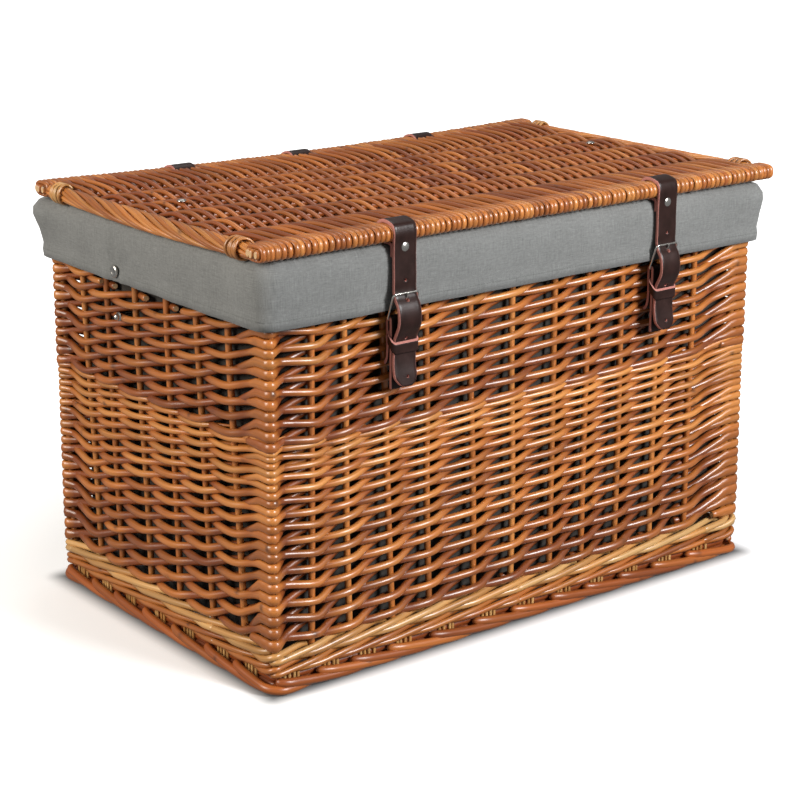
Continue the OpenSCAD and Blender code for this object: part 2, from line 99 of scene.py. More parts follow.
# ---------------------------------------------------------------- the way round the walls
SIDES = np.array([2 * HX, 2 * HY, 2 * HX, 2 * HY])
STARTS = np.concatenate([[0], np.cumsum(SIDES)])
ROUND = STARTS[-1]
SIDE_ANGLE = np.radians([-90, 0, 90, 180])
CORNERS = np.array([[-HX, -HY], [HX, -HY], [HX, HY], [-HX, HY]])
TRAVEL = np.array([[1, 0], [0, 1], [-1, 0], [0, -1]])


def wall_xy(u, n, radius=CORNER_R, least=6 * MM):
    """Point and outward normal at distance u round the body from its front left corner, seen
    from above against the clock, and n outside the wall's face. The corners are round."""
    u = np.mod(np.asarray(u, float), ROUND)
    n = np.broadcast_to(np.asarray(n, float), u.shape)
    side = np.clip(np.searchsorted(STARTS, u, side="right") - 1, 0, 3)
    t = u - STARTS[side]
    rest = SIDES[side] - t
    arc = np.maximum(radius + n, least)
    reach = arc - n
    angle = SIDE_ANGLE[side].copy()
    at_start, at_end = t < reach, rest < reach
    angle = np.where(at_start, angle - math.pi / 4 * (1 - t / reach), angle)
    angle = np.where(at_end, angle + math.pi / 4 * (1 - rest / reach), angle)
    normal = np.stack([np.cos(angle), np.sin(angle)], -1)
    straight = CORNERS[side] + TRAVEL[side] * t[..., None] + normal * n[..., None]
    corner = np.where(at_end[..., None], CORNERS[(side + 1) % 4], CORNERS[side])
    centre = corner - np.sign(corner) * reach[..., None]
    bent = centre + normal * arc[..., None]
    on_arc = (at_start | at_end)[..., None]
    return np.where(on_arc, bent, straight), normal


def at_wall(u, n, z, **corner):
    xy, normal = wall_xy(u, n, **corner)
    z = np.broadcast_to(z, xy.shape[:-1])
    return (np.concatenate([xy, z[..., None]], -1),
            np.concatenate([normal, np.zeros_like(z)[..., None]], -1))


def stations():
    """Every upright in the order that a weaver meets it: (distance, kind, lean). Each corner has
    two posts: one a little before the bend and one at the corner itself."""
    front = [(x + HX, lean) for x, lean in zip(FRONT_XS, FRONT_LEANS)]
    right = [(STARTS[1] + y + HY, 0) for y in RIGHT_YS]
    back = [(STARTS[2] + HX - x, 0) for x in reversed(BACK_XS)]
    left = [(STARTS[3] + HY - y, -lean)
            for y, lean in zip(reversed(LEFT_YS), reversed(LEFT_LEANS))]
    rows = []
    for side, wall in enumerate((front, right, back, left)):
        rows.append((STARTS[side], "corner", 0))
        rows += [(u, "stake", lean) for u, lean in wall]
        rows.append((STARTS[side + 1] - POST_BEFORE, "post", 0))
    return rows


STATIONS = stations()
COUNT = len(STATIONS)


def station(i, z=None):
    """Distance and kind of the i-th upright, at height z if it leans."""
    u, kind, lean = STATIONS[i % COUNT]
    if z is not None:
        u += lean * ((z - STAKE_LOW) / (STAKE_TOP - STAKE_LOW) - 0.5)
    return u + ROUND * (i // COUNT), kind


# ---------------------------------------------------------------- curves through control points
def distances(points):
    """How far each point lies along the line through the points."""
    return np.concatenate([[0], np.cumsum(np.linalg.norm(np.diff(points, axis=0), axis=1))])


def eased(x, rows, reach):
    """Values at x on straight lines between rows of (place, value), rounded off over reach."""
    rows = np.array(sorted(rows))
    steps = np.linspace(-reach, reach, 5)
    return sum(np.interp(x + d, rows[:, 0], rows[:, 1]) for d in steps) / len(steps)


def smooth(x, xs, ys):
    """Values at x on a cubic through the control points."""
    if len(xs) > 2:
        slope = np.gradient(ys, xs)
    else:
        slope = np.full(len(xs), (ys[-1] - ys[0]) / (xs[-1] - xs[0]))
    k = np.clip(np.searchsorted(xs, x) - 1, 0, len(xs) - 2)
    h = xs[k + 1] - xs[k]
    t = np.clip((x - xs[k]) / h, 0, 1)
    return ((2 * t**3 - 3 * t**2 + 1) * ys[k] + (t**3 - 2 * t**2 + t) * h * slope[k]
            + (3 * t**2 - 2 * t**3) * ys[k + 1] + (t**3 - t**2) * h * slope[k + 1])


def through(points, step=1.5 * MM):
    """Evenly spaced points on a Catmull-Rom curve through points of any dimension."""
    p = np.array(points, float)
    d = distances(p)
    s = np.linspace(0, d[-1], max(int(d[-1] / step), 4) + 1)
    return np.stack([smooth(s, d, p[:, k]) for k in range(p.shape[1])], -1)


# ---------------------------------------------------------------- meshes
def unit(v):
    return v / np.maximum(np.linalg.norm(v, axis=-1, keepdims=True), 1e-12)


def make_object(name, verts, faces, materials, face_material=None, flat=None):
    mesh = bpy.data.meshes.new(name)
    mesh.from_pydata(verts, [], faces)
    for m in materials:
        mesh.materials.append(m)
    if face_material is not None:
        mesh.polygons.foreach_set("material_index", np.asarray(face_material, np.int32))
    smooth_faces = np.ones(len(faces), bool)
    if flat is not None:
        smooth_faces &= ~np.asarray(flat, bool)
    mesh.polygons.foreach_set("use_smooth", smooth_faces)
    mesh.update()
    obj = bpy.data.objects.new(name, mesh)
    bpy.context.scene.collection.objects.link(obj)
    return obj


def vector_attribute(obj, name, values):
    a = obj.data.attributes.new(name, "FLOAT_VECTOR", "POINT")
    a.data.foreach_set("vector", np.asarray(values, np.float32).ravel())


def colour_attribute(obj, name, values):
    a = obj.data.attributes.new(name, "FLOAT_COLOR", "POINT")
    a.data.foreach_set("color", np.asarray(values, np.float32).ravel())


def face_outwards(obj):
    bm = bmesh.new()
    bm.from_mesh(obj.data)
    bmesh.ops.recalc_face_normals(bm, faces=bm.faces)
    bm.to_mesh(obj.data)
    bm.free()


class Rods:
    """Collects rods of willow as tubes, and makes one mesh of them. Each point knows its place
    along and across its rod, and the rod's tone, which carries painted shade where a caller darkens it;
    the material uses it."""

    def __init__(self, sides=8):
        self.sides = sides
        self.verts, self.space, self.tone = [], [], []
        self.quads, self.caps = [], []
        self.size = 0

    def add(self, points, normals, half_n, half_b, tone=0.5, knots=0.0):
        """A tube along points, half_n thick along normals and half_b across them. tone is a
        number or one for each point: 0 is the red butt end and 1 the golden tip."""
        p = np.asarray(points, float)
        count = len(p)
        half_n = np.broadcast_to(np.asarray(half_n, float), count).copy()
        half_b = np.broadcast_to(np.asarray(half_b, float), count).copy()
        tone = np.broadcast_to(np.asarray(tone, float), count).copy()
        tangent = unit(np.gradient(p, axis=0))
        lip = 0.3 * min(half_n[0], half_b[0]), 0.3 * min(half_n[-1], half_b[-1])
        p = np.concatenate([[p[0] - tangent[0] * lip[0]], p, [p[-1] + tangent[-1] * lip[1]]])
        grow = lambda a, f=1.0: np.concatenate([[a[0] * f], a, [a[-1] * f]])
        half_n, half_b, tone = grow(half_n, 0.72), grow(half_b, 0.72), grow(tone)
        tangent = np.concatenate([tangent[:1], tangent, tangent[-1:]])
        ref = np.asarray(normals, float)
        ref = np.broadcast_to(ref, (count, 3)) if ref.ndim == 1 else ref
        ref = np.concatenate([ref[:1], ref, ref[-1:]])
        n = unit(ref - (ref * tangent).sum(-1, keepdims=True) * tangent)
        b = np.cross(tangent, n)
        a = np.linspace(0, 2 * math.pi, self.sides, endpoint=False)
        across_n = half_n[:, None] * np.cos(a)
        across_b = half_b[:, None] * np.sin(a)
        v = p[:, None] + n[:, None] * across_n[..., None] + b[:, None] * across_b[..., None]
        along = distances(p)
        shift = RNG.uniform(0, 50)
        space = np.stack([np.broadcast_to(along[:, None] + shift, across_n.shape),
                          across_n, across_b], -1)
        mark = np.zeros(across_n.shape)
        if knots:
            s = RNG.uniform(0, knots)
            while s < along[-1]:
                side = RNG.uniform(0, 2 * math.pi)
                mark += (np.exp(-(((along - s) / (2.2 * MM)) ** 2))[:, None]
                         * np.clip(np.cos(a - side) * 2.2 - 1.1, 0, 1))
                s += RNG.uniform(0.5, 1.5) * knots
        own = RNG.uniform(0, 1, 2)
        tones = np.stack([np.broadcast_to(tone[:, None], mark.shape), np.full(mark.shape, own[0]),
                          np.clip(mark, 0, 1), np.full(mark.shape, own[1])], -1)
        rings = len(p)
        i = np.arange(rings - 1)[:, None] * self.sides
        j = np.arange(self.sides)
        k = (j + 1) % self.sides
        quads = np.stack([i + j, i + j + self.sides, i + k + self.sides, i + k], -1).reshape(-1, 4)
        self.quads.append(quads + self.size)
        first, last = self.size + j, self.size + (rings - 1) * self.sides + j[::-1]
        self.caps += [first.tolist(), last.tolist()]
        self.verts.append(v.reshape(-1, 3))
        self.space.append(space.reshape(-1, 3))
        self.tone.append(tones.reshape(-1, 4))
        self.size += rings * self.sides

    def build(self, name, bark, cut):
        quads = np.concatenate(self.quads)
        faces = quads.tolist() + self.caps
        kind = np.concatenate([np.zeros(len(quads)), np.ones(len(self.caps))])
        obj = make_object(name, np.concatenate(self.verts), faces, [bark, cut], kind, flat=kind > 0)
        vector_attribute(obj, "rod_space", np.concatenate(self.space))
        colour_attribute(obj, "rod_tone", np.concatenate(self.tone))
        return obj


# ---------------------------------------------------------------- materials
def new_material(name):
    m = bpy.data.materials.new(name)
    m.use_nodes = True
    nodes = m.node_tree.nodes
    nodes.clear()
    out = nodes.new("ShaderNodeOutputMaterial")
    shader = nodes.new("ShaderNodeBsdfPrincipled")
    m.node_tree.links.new(shader.outputs[0], out.inputs[0])
    return m, shader


class Graph:
    """Short ways to add nodes to a material."""

    def __init__(self, material):
        self.tree = material.node_tree

    def node(self, kind, **inputs):
        n = self.tree.nodes.new(kind)
        for key, value in inputs.items():
            self.feed(n.inputs[key.replace("_", " ")], value)
        return n

    def feed(self, socket, value):
        if isinstance(value, bpy.types.NodeSocket):
            self.tree.links.new(value, socket)
        else:
            socket.default_value = value

    def attribute(self, name):
        n = self.tree.nodes.new("ShaderNodeAttribute")
        n.attribute_name = name
        return n

    def math(self, operation, *values, clamp=False):
        n = self.tree.nodes.new("ShaderNodeMath")
        n.operation = operation
        n.use_clamp = clamp
        for socket, value in zip(n.inputs, values):
            self.feed(socket, value)
        return n.outputs[0]

    def scaled(self, vector, scale):
        n = self.tree.nodes.new("ShaderNodeVectorMath")
        n.operation = "MULTIPLY"
        self.feed(n.inputs[0], vector)
        n.inputs[1].default_value = scale
        return n.outputs[0]

    def noise(self, vector, scale=1.0, detail=3.0, rough=0.55):
        n = self.node("ShaderNodeTexNoise", Vector=vector, Scale=scale, Detail=detail, Roughness=rough)
        return n.outputs[0]

    def ramp(self, factor, stops):
        n = self.tree.nodes.new("ShaderNodeValToRGB")
        while len(n.color_ramp.elements) < len(stops):
            n.color_ramp.elements.new(0.5)
        for element, (place, colour) in zip(n.color_ramp.elements, stops):
            element.position = place
            element.color = (*colour, 1)
        self.feed(n.inputs[0], factor)
        return n.outputs[0]

    def mix(self, kind, factor, a, b):
        n = self.tree.nodes.new("ShaderNodeMix")
        n.data_type = "RGBA"
        n.blend_type = kind
        self.feed(n.inputs[0], factor)
        self.feed(n.inputs[6], a)
        self.feed(n.inputs[7], b)
        return n.outputs[2]

    def bump(self, height, distance, strength=1.0, normal=None):
        n = self.node("ShaderNodeBump", Height=height, Distance=distance, Strength=strength)
        if normal is not None:
            self.tree.links.new(normal, n.inputs["Normal"])
        return n.outputs[0]


def willow(name, butt, mid, tip, gloss=0.36, coat=0.6):
    """Willow bark: butt, mid and tip colours along a rod, streaks along the grain, small knots."""
    m, shader = new_material(name)
    g = Graph(m)
    space = g.attribute("rod_space").outputs["Vector"]
    tone = g.attribute("rod_tone")
    split = g.node("ShaderNodeSeparateColor")
    g.feed(split.inputs[0], tone.outputs["Color"])
    along, own, knot = split.outputs[0], split.outputs[1], split.outputs[2]
    other = tone.outputs["Alpha"]
    streak = g.noise(g.scaled(space, (22, 900, 900)), detail=4)
    blotch = g.noise(g.scaled(space, (9, 60, 60)), detail=2)
    place = g.math("ADD", along, g.math("MULTIPLY", g.math("SUBTRACT", own, 0.5), 0.45))
    place = g.math("ADD", place, g.math("MULTIPLY", g.math("SUBTRACT", blotch, 0.5), 0.9))
    colour = g.ramp(place, [(0.0, butt), (0.5, mid), (1.0, tip)])
    light = g.math("ADD", 0.62, g.math("MULTIPLY", streak, 0.76))
    light = g.math("MULTIPLY", light, g.math("ADD", 0.84, g.math("MULTIPLY", other, 0.32)))
    lit = g.node("ShaderNodeCombineColor")
    for socket in lit.inputs[:3]:
        g.feed(socket, light)
    colour = g.mix("MULTIPLY", 1.0, colour, lit.outputs[0])
    colour = g.mix("MIX", g.math("MULTIPLY", knot, 0.8), colour, (0.05, 0.018, 0.008, 1))
    g.feed(shader.inputs["Base Color"], colour)
    g.feed(shader.inputs["Roughness"], g.math("ADD", gloss - 0.1, g.math("MULTIPLY", streak, 0.22)))
    shader.inputs["Specular IOR Level"].default_value = 0.5
    shader.inputs["Coat Weight"].default_value = coat
    shader.inputs["Coat Roughness"].default_value = 0.3
    fine = g.noise(g.scaled(space, (30, 1500, 1500)), detail=3)
    bumped = g.bump(fine, 0.12 * MM, 0.7)
    bumped = g.bump(g.math("SUBTRACT", blotch, g.math("MULTIPLY", knot, 0.7)), 0.3 * MM, 0.5, bumped)
    g.feed(shader.inputs["Normal"], bumped)
    return m


def cut_wood():
    m, shader = new_material("cut_willow")
    g = Graph(m)
    space = g.attribute("rod_space").outputs["Vector"]
    grain = g.noise(g.scaled(space, (200, 1400, 1400)), detail=3)
    colour = g.ramp(grain, [(0.2, (0.36, 0.19, 0.08)), (0.8, (0.74, 0.52, 0.29))])
    g.feed(shader.inputs["Base Color"], colour)
    shader.inputs["Roughness"].default_value = 0.75
    g.feed(shader.inputs["Normal"], g.bump(grain, 0.2 * MM, 0.6))
    return m


# How far up the cloth from the hem the skirt ends. The bag beyond it lies behind the rods.
SKIRT_LENGTH = 92 * MM


def linen():
    """Grey plain weave: slubby threads both ways, a row of stitches above the hem, and painted
    shade on the outer face of the bag, where it shows between the rods."""
    m, shader = new_material("liner_linen")
    g = Graph(m)
    cloth = g.attribute("cloth").outputs["Vector"]
    warp = g.noise(g.scaled(cloth, (2400, 60, 1)), detail=2, rough=0.7)
    weft = g.noise(g.scaled(cloth, (60, 2400, 1)), detail=2, rough=0.7)
    slub = g.noise(g.scaled(cloth, (300, 420, 1)), detail=4, rough=0.75)
    cloud = g.noise(g.scaled(cloth, (14, 14, 1)), detail=2)
    threads = g.math("ADD", g.math("MULTIPLY", warp, 0.5), g.math("MULTIPLY", weft, 0.5))
    value = g.math("ADD", g.math("MULTIPLY", threads, 0.62), g.math("MULTIPLY", slub, 0.26))
    value = g.math("ADD", value, g.math("MULTIPLY", cloud, 0.12))
    colour = g.ramp(value, [(0.36, (0.096, 0.098, 0.093)), (0.5, (0.165, 0.167, 0.161)),
                            (0.64, (0.243, 0.246, 0.236))])
    parts = g.node("ShaderNodeSeparateXYZ")
    g.feed(parts.inputs[0], cloth)
    outwards = g.node("ShaderNodeVectorMath")
    outwards.operation = "DOT_PRODUCT"
    geometry = g.node("ShaderNodeNewGeometry")
    g.feed(outwards.inputs[0], geometry.outputs["Normal"])
    g.feed(outwards.inputs[1], g.scaled(geometry.outputs["Position"], (1, 1, 0)))
    # Painted shade: the outer face of the bag beyond the skirt, behind the rods, is coloured nearly
    # black-brown
    painted_bag_shade = g.math("MULTIPLY", g.math("GREATER_THAN", parts.outputs[1], SKIRT_LENGTH),
                    g.math("GREATER_THAN", outwards.outputs["Value"], 0.0))
    colour = g.mix("MIX", g.math("MULTIPLY", painted_bag_shade, 0.95), colour, (0.022, 0.016, 0.011, 1))
    near = g.math("COMPARE", parts.outputs[1], 8.2 * MM, 0.45 * MM)
    beat = g.math("GREATER_THAN", g.math("FRACT", g.math("MULTIPLY", parts.outputs[0], 300)), 0.28)
    stitch = g.math("MULTIPLY", near, beat)
    colour = g.mix("MIX", g.math("MULTIPLY", stitch, 0.55), colour, (0.12, 0.125, 0.115, 1))
    g.feed(shader.inputs["Base Color"], colour)
    shader.inputs["Roughness"].default_value = 0.9
    shader.inputs["Sheen Weight"].default_value = 0.15
    shader.inputs["Sheen Roughness"].default_value = 0.5
    bumped = g.bump(threads, 0.35 * MM, 0.8)
    bumped = g.bump(g.math("MULTIPLY", stitch, -1.0), 0.4 * MM, 0.8, bumped)
    g.feed(shader.inputs["Normal"], bumped)
    return m


def leather():
    """Dark brown leather with a fine grain, a crease near each edge and paler worn edges."""
    m, shader = new_material("brown_leather")
    g = Graph(m)
    place = g.attribute("hide").outputs["Vector"]
    parts = g.node("ShaderNodeSeparateXYZ")
    g.feed(parts.inputs[0], place)
    across = g.math("ABSOLUTE", parts.outputs[1])
    pores = g.node("ShaderNodeTexVoronoi", Vector=g.scaled(place, (1100, 1100, 1100)), Scale=1.0)
    wear = g.noise(g.scaled(place, (60, 90, 90)), detail=4)
    colour = g.ramp(wear, [(0.3, (0.014, 0.0055, 0.004)), (0.6, (0.024, 0.009, 0.007)),
                           (0.8, (0.040, 0.018, 0.015))])
    edge = g.math("MULTIPLY", g.math("GREATER_THAN", across, 11.3 * MM), 0.35)
    colour = g.mix("MIX", edge, colour, (0.11, 0.05, 0.042, 1))
    g.feed(shader.inputs["Base Color"], colour)
    g.feed(shader.inputs["Roughness"], g.math("ADD", 0.24, g.math("MULTIPLY", wear, 0.22)))
    shader.inputs["Specular IOR Level"].default_value = 0.32
    crease = g.math("COMPARE", across, 9.8 * MM, 0.4 * MM)
    bumped = g.bump(pores.outputs[0], 0.12 * MM, 0.45)
    bumped = g.bump(g.math("MULTIPLY", crease, -1.0), 0.3 * MM, 0.7, bumped)
    g.feed(shader.inputs["Normal"], g.bump(wear, 0.5 * MM, 0.35, bumped))
    return m


def raw_edge():
    m, shader = new_material("leather_raw_edge")
    g = Graph(m)
    place = g.attribute("hide").outputs["Vector"]
    fibre = g.noise(g.scaled(place, (500, 900, 2600)), detail=4, rough=0.7)
    colour = g.ramp(fibre, [(0.3, (0.30, 0.105, 0.085)), (0.7, (0.53, 0.225, 0.185))])
    g.feed(shader.inputs["Base Color"], colour)
    shader.inputs["Roughness"].default_value = 0.85
    g.feed(shader.inputs["Normal"], g.bump(fibre, 0.2 * MM, 0.6))
    return m


def nickel():
    m, shader = new_material("nickel_plate")
    g = Graph(m)
    coordinates = g.node("ShaderNodeTexCoord").outputs["Object"]
    scratch = g.noise(g.scaled(coordinates, (700, 700, 700)), detail=4)
    colour = g.ramp(scratch, [(0.3, (0.56, 0.53, 0.49)), (0.7, (0.74, 0.72, 0.68))])
    g.feed(shader.inputs["Base Color"], colour)
    shader.inputs["Metallic"].default_value = 1.0
    g.feed(shader.inputs["Roughness"], g.math("ADD", 0.16, g.math("MULTIPLY", scratch, 0.16)))
    g.feed(shader.inputs["Normal"], g.bump(scratch, 0.05 * MM, 0.4))
    return m


def backdrop():
    """White paper that shines a little by itself, more so far from the basket, with a painted shadow
    round the basket's foot.
    """
    m, shader = new_material("white_paper")
    g = Graph(m)
    coordinates = g.node("ShaderNodeTexCoord").outputs["Object"]
    shader.inputs["Emission Color"].default_value = (1, 1, 1, 1)
    length = g.tree.nodes.new("ShaderNodeVectorMath")
    length.operation = "LENGTH"
    g.feed(length.inputs[0], coordinates)
    far = g.tree.nodes.new("ShaderNodeMapRange")
    for socket, value in zip(far.inputs[:5], (length.outputs["Value"], 0.38, 0.80, 0.20, 0.95)):
        g.feed(socket, value)
    # Painted shadow: the paper's colour and glow are darkened close round the basket's foot
    parts = g.node("ShaderNodeSeparateXYZ")
    g.feed(parts.inputs[0], coordinates)
    gaps = [g.math("MAXIMUM", g.math("SUBTRACT", g.math("ABSOLUTE", parts.outputs[i]), half), 0.0)
            for i, half in enumerate((HX, HY))]
    gap = g.math("SQRT", g.math("ADD", *(g.math("MULTIPLY", v, v) for v in gaps)))
    painted_contact_shadow = g.node("ShaderNodeMapRange")
    painted_contact_shadow.interpolation_type = "SMOOTHSTEP"
    for socket, value in zip(painted_contact_shadow.inputs[:5], (gap, -0.006, 0.026, 0.05, 1.0)):
        g.feed(socket, value)
    g.feed(shader.inputs["Emission Strength"], g.math("MULTIPLY", far.outputs[0], painted_contact_shadow.outputs[0]))
    paper = g.node("ShaderNodeCombineColor")
    for socket in paper.inputs[:3]:
        g.feed(socket, g.math("MULTIPLY", painted_contact_shadow.outputs[0], 0.9))
    g.feed(shader.inputs["Base Color"], paper.outputs[0])
    shader.inputs["Roughness"].default_value = 0.9
    return m


WILLOW = willow("willow_bark", (0.21, 0.050, 0.010), (0.40, 0.126, 0.023), (0.53, 0.215, 0.052))
DARK_WILLOW = willow("willow_dark", (0.20, 0.044, 0.009), (0.31, 0.078, 0.014),
                     (0.40, 0.124, 0.024), coat=0.2)
PALE_WILLOW = willow("willow_pale", (0.36, 0.140, 0.034), (0.47, 0.220, 0.062),
                     (0.58, 0.335, 0.125))
CUT = cut_wood()
LINEN = linen()
HIDE = leather()
RAW = raw_edge()
NICKEL = nickel()


def ride(obj, body, slot, *nodes):
    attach(obj, body)
    if nodes:
        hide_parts(*nodes)
    return obj


# ---------------------------------------------------------------- siding
# Two sets of rods, one above the other. In each set one rod starts at every upright and climbs
# a row for every two uprights, in front of one and behind the next. The rows start at z0, pitch
# apart and closer by less with each row. A rod tapers from r0 to r1, and its tone changes.
SETS = [
    dict(rows=15, z0=48 * MM, pitch=17 * MM, less=0.63 * MM,
         r0=4.1 * MM, r1=2.75 * MM, tone=(0.25, 0.95)),
    dict(rows=11, z0=234 * MM, pitch=14.4 * MM, less=0.15 * MM,
         r0=3.7 * MM, r1=3.2 * MM, tone=(0.2, 0.95)),
]
BEHIND_DROP = 4.2 * MM  # how much lower a rod runs behind a stake than in front of one
# Corner crossings in the order that they lie on the posts, as shares of a row's pitch
CORNER_RISE = {"rising": 0.0, "tucked": -0.3, "level": 0.4, "inside": 0.15}


def row_z(part, row):
    return part["z0"] + part["pitch"] * row - part["less"] / 2 * row * (row - 1)


def row_pitch(part, row):
    return part["pitch"] - part["less"] * row


def weaver_controls(part, start):
    """Control points of one rod along the distance u: its places (u, n), its heights (u, z)
    and its two half widths (u, half_n, half_b)."""
    last = 2 * part["rows"] - 1
    places, heights, widths = [], [], []
    m = -2 if station(start - 1)[1] == "corner" else -1
    while m <= last:
        u, kind = station(start + m)
        r = part["r0"] + (part["r1"] - part["r0"]) * max(m, 0) / last
        if kind == "post":
            corner_controls(part, start, m, r, places, heights, widths)
            m += 2
            continue
        front = m % 2 == 0
        z = row_z(part, m / 2 if front else (m + 1) / 2) + RNG.normal(0, 0.5 * MM)
        u = station(start + m, z)[0]
        if front:
            out = -STAKE_DEPTH + STAKE_R + 0.9 * r + 0.8 * MM + RNG.normal(0, 0.25 * MM)
            places += [(u, out), (u + 3 * MM, out - 0.2 * MM),
                       (u + 20 * MM, -STAKE_DEPTH - 1.6 * MM)]
            heights.append((u + 4 * MM, z + 0.4 * MM))
        else:
            z -= BEHIND_DROP
            if station(start + m + 1)[1] == "post":
                z += 0.25 * part["pitch"]
            places += [(u, -STAKE_DEPTH - STAKE_R - 0.9 * r - 1.1 * MM),
                       (u + 14 * MM, -STAKE_DEPTH + 0.3 * MM)]
            heights += [(u - 4 * MM, z - 0.6 * MM), (u + 3 * MM, z)]
        widths.append((u, r, r))
        m += 1
    return places, heights, widths


def corner_controls(part, start, m, r, places, heights, widths):
    """Adds the rod's way past the two posts of a corner, from its first post, the m-th upright."""
    u1, u2 = station(start + m)[0], station(start + m + 1)[0]
    row = (m + 1) / 2 if m % 2 else (m + 2) / 2
    pitch = row_pitch(part, row)
    if m % 2:
        way = "rising" if row % 2 == 0 else "tucked"
    else:
        way = "level" if row % 2 else "inside"
    z = row_z(part, row) + CORNER_RISE[way] * pitch + RNG.normal(0, 0.25 * MM)
    if way == "inside":
        depth = -STAKE_DEPTH - POST_R - 0.9 * r
        places += [(u1, depth), (u2, depth), (u2 + 12 * MM, depth), (u2 + 20 * MM, depth + 5 * MM)]
        heights += [(u1, z - 0.5 * MM), (u2, z), (u2 + 20 * MM, z)]
        widths += [(u1, r, r), (u2 + 20 * MM, r, r)]
        return
    high = min(0.34 * pitch, 1.5 * r)
    thin = 0.66 * r
    out = -STAKE_DEPTH + POST_R + thin
    bend = -POST_INSET + POST_R + thin + 1.6 * MM
    places += [(u1 - 10 * MM, out - 2.2 * MM), (u1, out),
               ((u1 + u2) / 2 - 1 * MM, out - 1.3 * MM), (u2, bend)]
    heights += [(u1 - 3 * MM, z), (u2, z)]
    widths += [(u1 - 12 * MM, r, r), (u1 - 3 * MM, thin, high), (u2 + 3 * MM, thin, high)]
    if way == "tucked":
        places += [(u2 + 6.5 * MM, bend), (u2 + 11 * MM, -STAKE_DEPTH - 0.5 * MM),
                   (u2 + 15 * MM, -STAKE_DEPTH - POST_R - 0.8 * r)]
        heights += [(u2 + 12 * MM, z)]
        widths += [(u2 + 14 * MM, r, high * 0.9)]
    else:
        places += [(u2 + 6.5 * MM, bend), (u2 + 12 * MM, -STAKE_DEPTH + 1.2 * MM),
                   (u2 + 20 * MM, -STAKE_DEPTH - 1.5 * MM)]
        heights += [(u2 + 8 * MM, z + 0.2 * MM)]
        widths += [(u2 + 14 * MM, r, r)]


def hole_mask(u, z):
    """True where a point lies in one of the two hand holes, which the siding stops at."""
    xy, normal = wall_xy(u, -STAKE_DEPTH)
    on_end = np.abs(normal[:, 0]) > 0.99
    return on_end & (xy[:, 1] > HOLE_LO_Y) & (xy[:, 1] < HOLE_HI_Y) & (z > HOLE_Z - 6 * MM)


def add_weaver(rods, controls, tone, taper, knots=0.16):
    """Adds one rod, split where a hand hole or the rim cuts it."""
    places, heights, widths = controls
    first, last = min(places)[0], max(places)[0]
    u = fine_near_corners(first - 8 * MM, last + 8 * MM)
    corners = STARTS[:, None] + ROUND * np.arange(3)[:, None, None]
    corner = np.abs(corners - u - 6 * MM).min((0, 1)) < 32 * MM
    x = np.clip(u, first, last)
    n = np.where(corner, eased(x, places, 1.6 * MM), eased(x, places, 6 * MM))
    n = box_filter(n, 2)
    z = eased(x, heights, 3.5 * MM)
    half_n = eased(u, [row[:2] for row in widths], 0.5 * MM)
    half_b = eased(u, [(row[0], row[2]) for row in widths], 0.5 * MM)
    share = (u - u[0]) / (u[-1] - u[0])
    if taper:
        thin = np.clip((1 - share) / 0.05, 0.35, 1)
        half_n, half_b = half_n * thin, half_b * thin
    thick = RNG.uniform(0.93, 1.07)
    # Painted shade: the bark is drawn darker and redder where the rod is tucked in behind the stakes
    tucked = np.clip((-3.0 * MM - n) / (6 * MM), 0, 1)
    tones = tone[0] + (tone[1] - tone[0]) * share - 0.6 * tucked
    points, normals = at_wall(u, n, z)
    keep = ~hole_mask(u, z) & (z < RIM_LOW + 2 * MM)
    edges = np.flatnonzero(np.diff(np.concatenate([[0], keep.astype(int), [0]])))
    for a, b in zip(edges[::2], edges[1::2]):
        if b - a > 3:
            rods.add(points[a:b], normals[a:b], half_n[a:b] * thick, half_b[a:b] * thick,
                     tones[a:b], knots)


def box_filter(values, reach):
    """The running mean of values over reach neighbours at each side."""
    padded = np.pad(values, reach, mode="edge")
    return np.convolve(padded, np.ones(2 * reach + 1) / (2 * reach + 1), mode="valid")


def fine_near_corners(a, b, step=5 * MM, fine=1.8 * MM, reach=20 * MM):
    """Distances from a to b, closer together round the corners."""
    rows = [a]
    while rows[-1] < b:
        u = rows[-1] % ROUND
        near = np.abs(STARTS - u).min() < reach
        rows.append(rows[-1] + (fine if near else step))
    return np.array(rows)


def siding():
    """Rods are shared out among four pieces by the wall that they start on."""
    bundles = [Rods(8) for _ in range(4)]
    for index, part in enumerate(SETS):
        for start in range(COUNT):
            side = int(np.searchsorted(STARTS, STATIONS[start][0], side="right") - 1)
            controls = weaver_controls(part, start)
            add_weaver(bundles[min(side, 3)], controls, part["tone"], taper=index == 0)
    names = ("front_weave", "right_weave", "back_weave", "left_weave")
    for name, rods in zip(names, bundles):
        ride(rods.build("siding_from_" + name.split("_")[0], WILLOW, CUT), "root", "willow", name)


def upright(rods, x, y, r, lean=(0, 0), tone=0.6):
    """A stake or post that leans by lean over its height and waves a little."""
    z = np.linspace(STAKE_LOW, STAKE_TOP, 24)
    t = (z - z[0]) / (z[-1] - z[0]) - 0.5
    wave = RNG.normal(0, 0.5 * MM) * np.sin(t * 9)
    p = np.stack([x + lean[0] * t + wave, y + lean[1] * t, z], -1)
    if abs(y) > HY - 20 * MM:
        out = np.array([x / HX * 0.5, y / HY, 0])
    else:
        out = np.array([np.sign(x), 0, 0])
    rods.add(p, out, r, r, tone, 0.12)


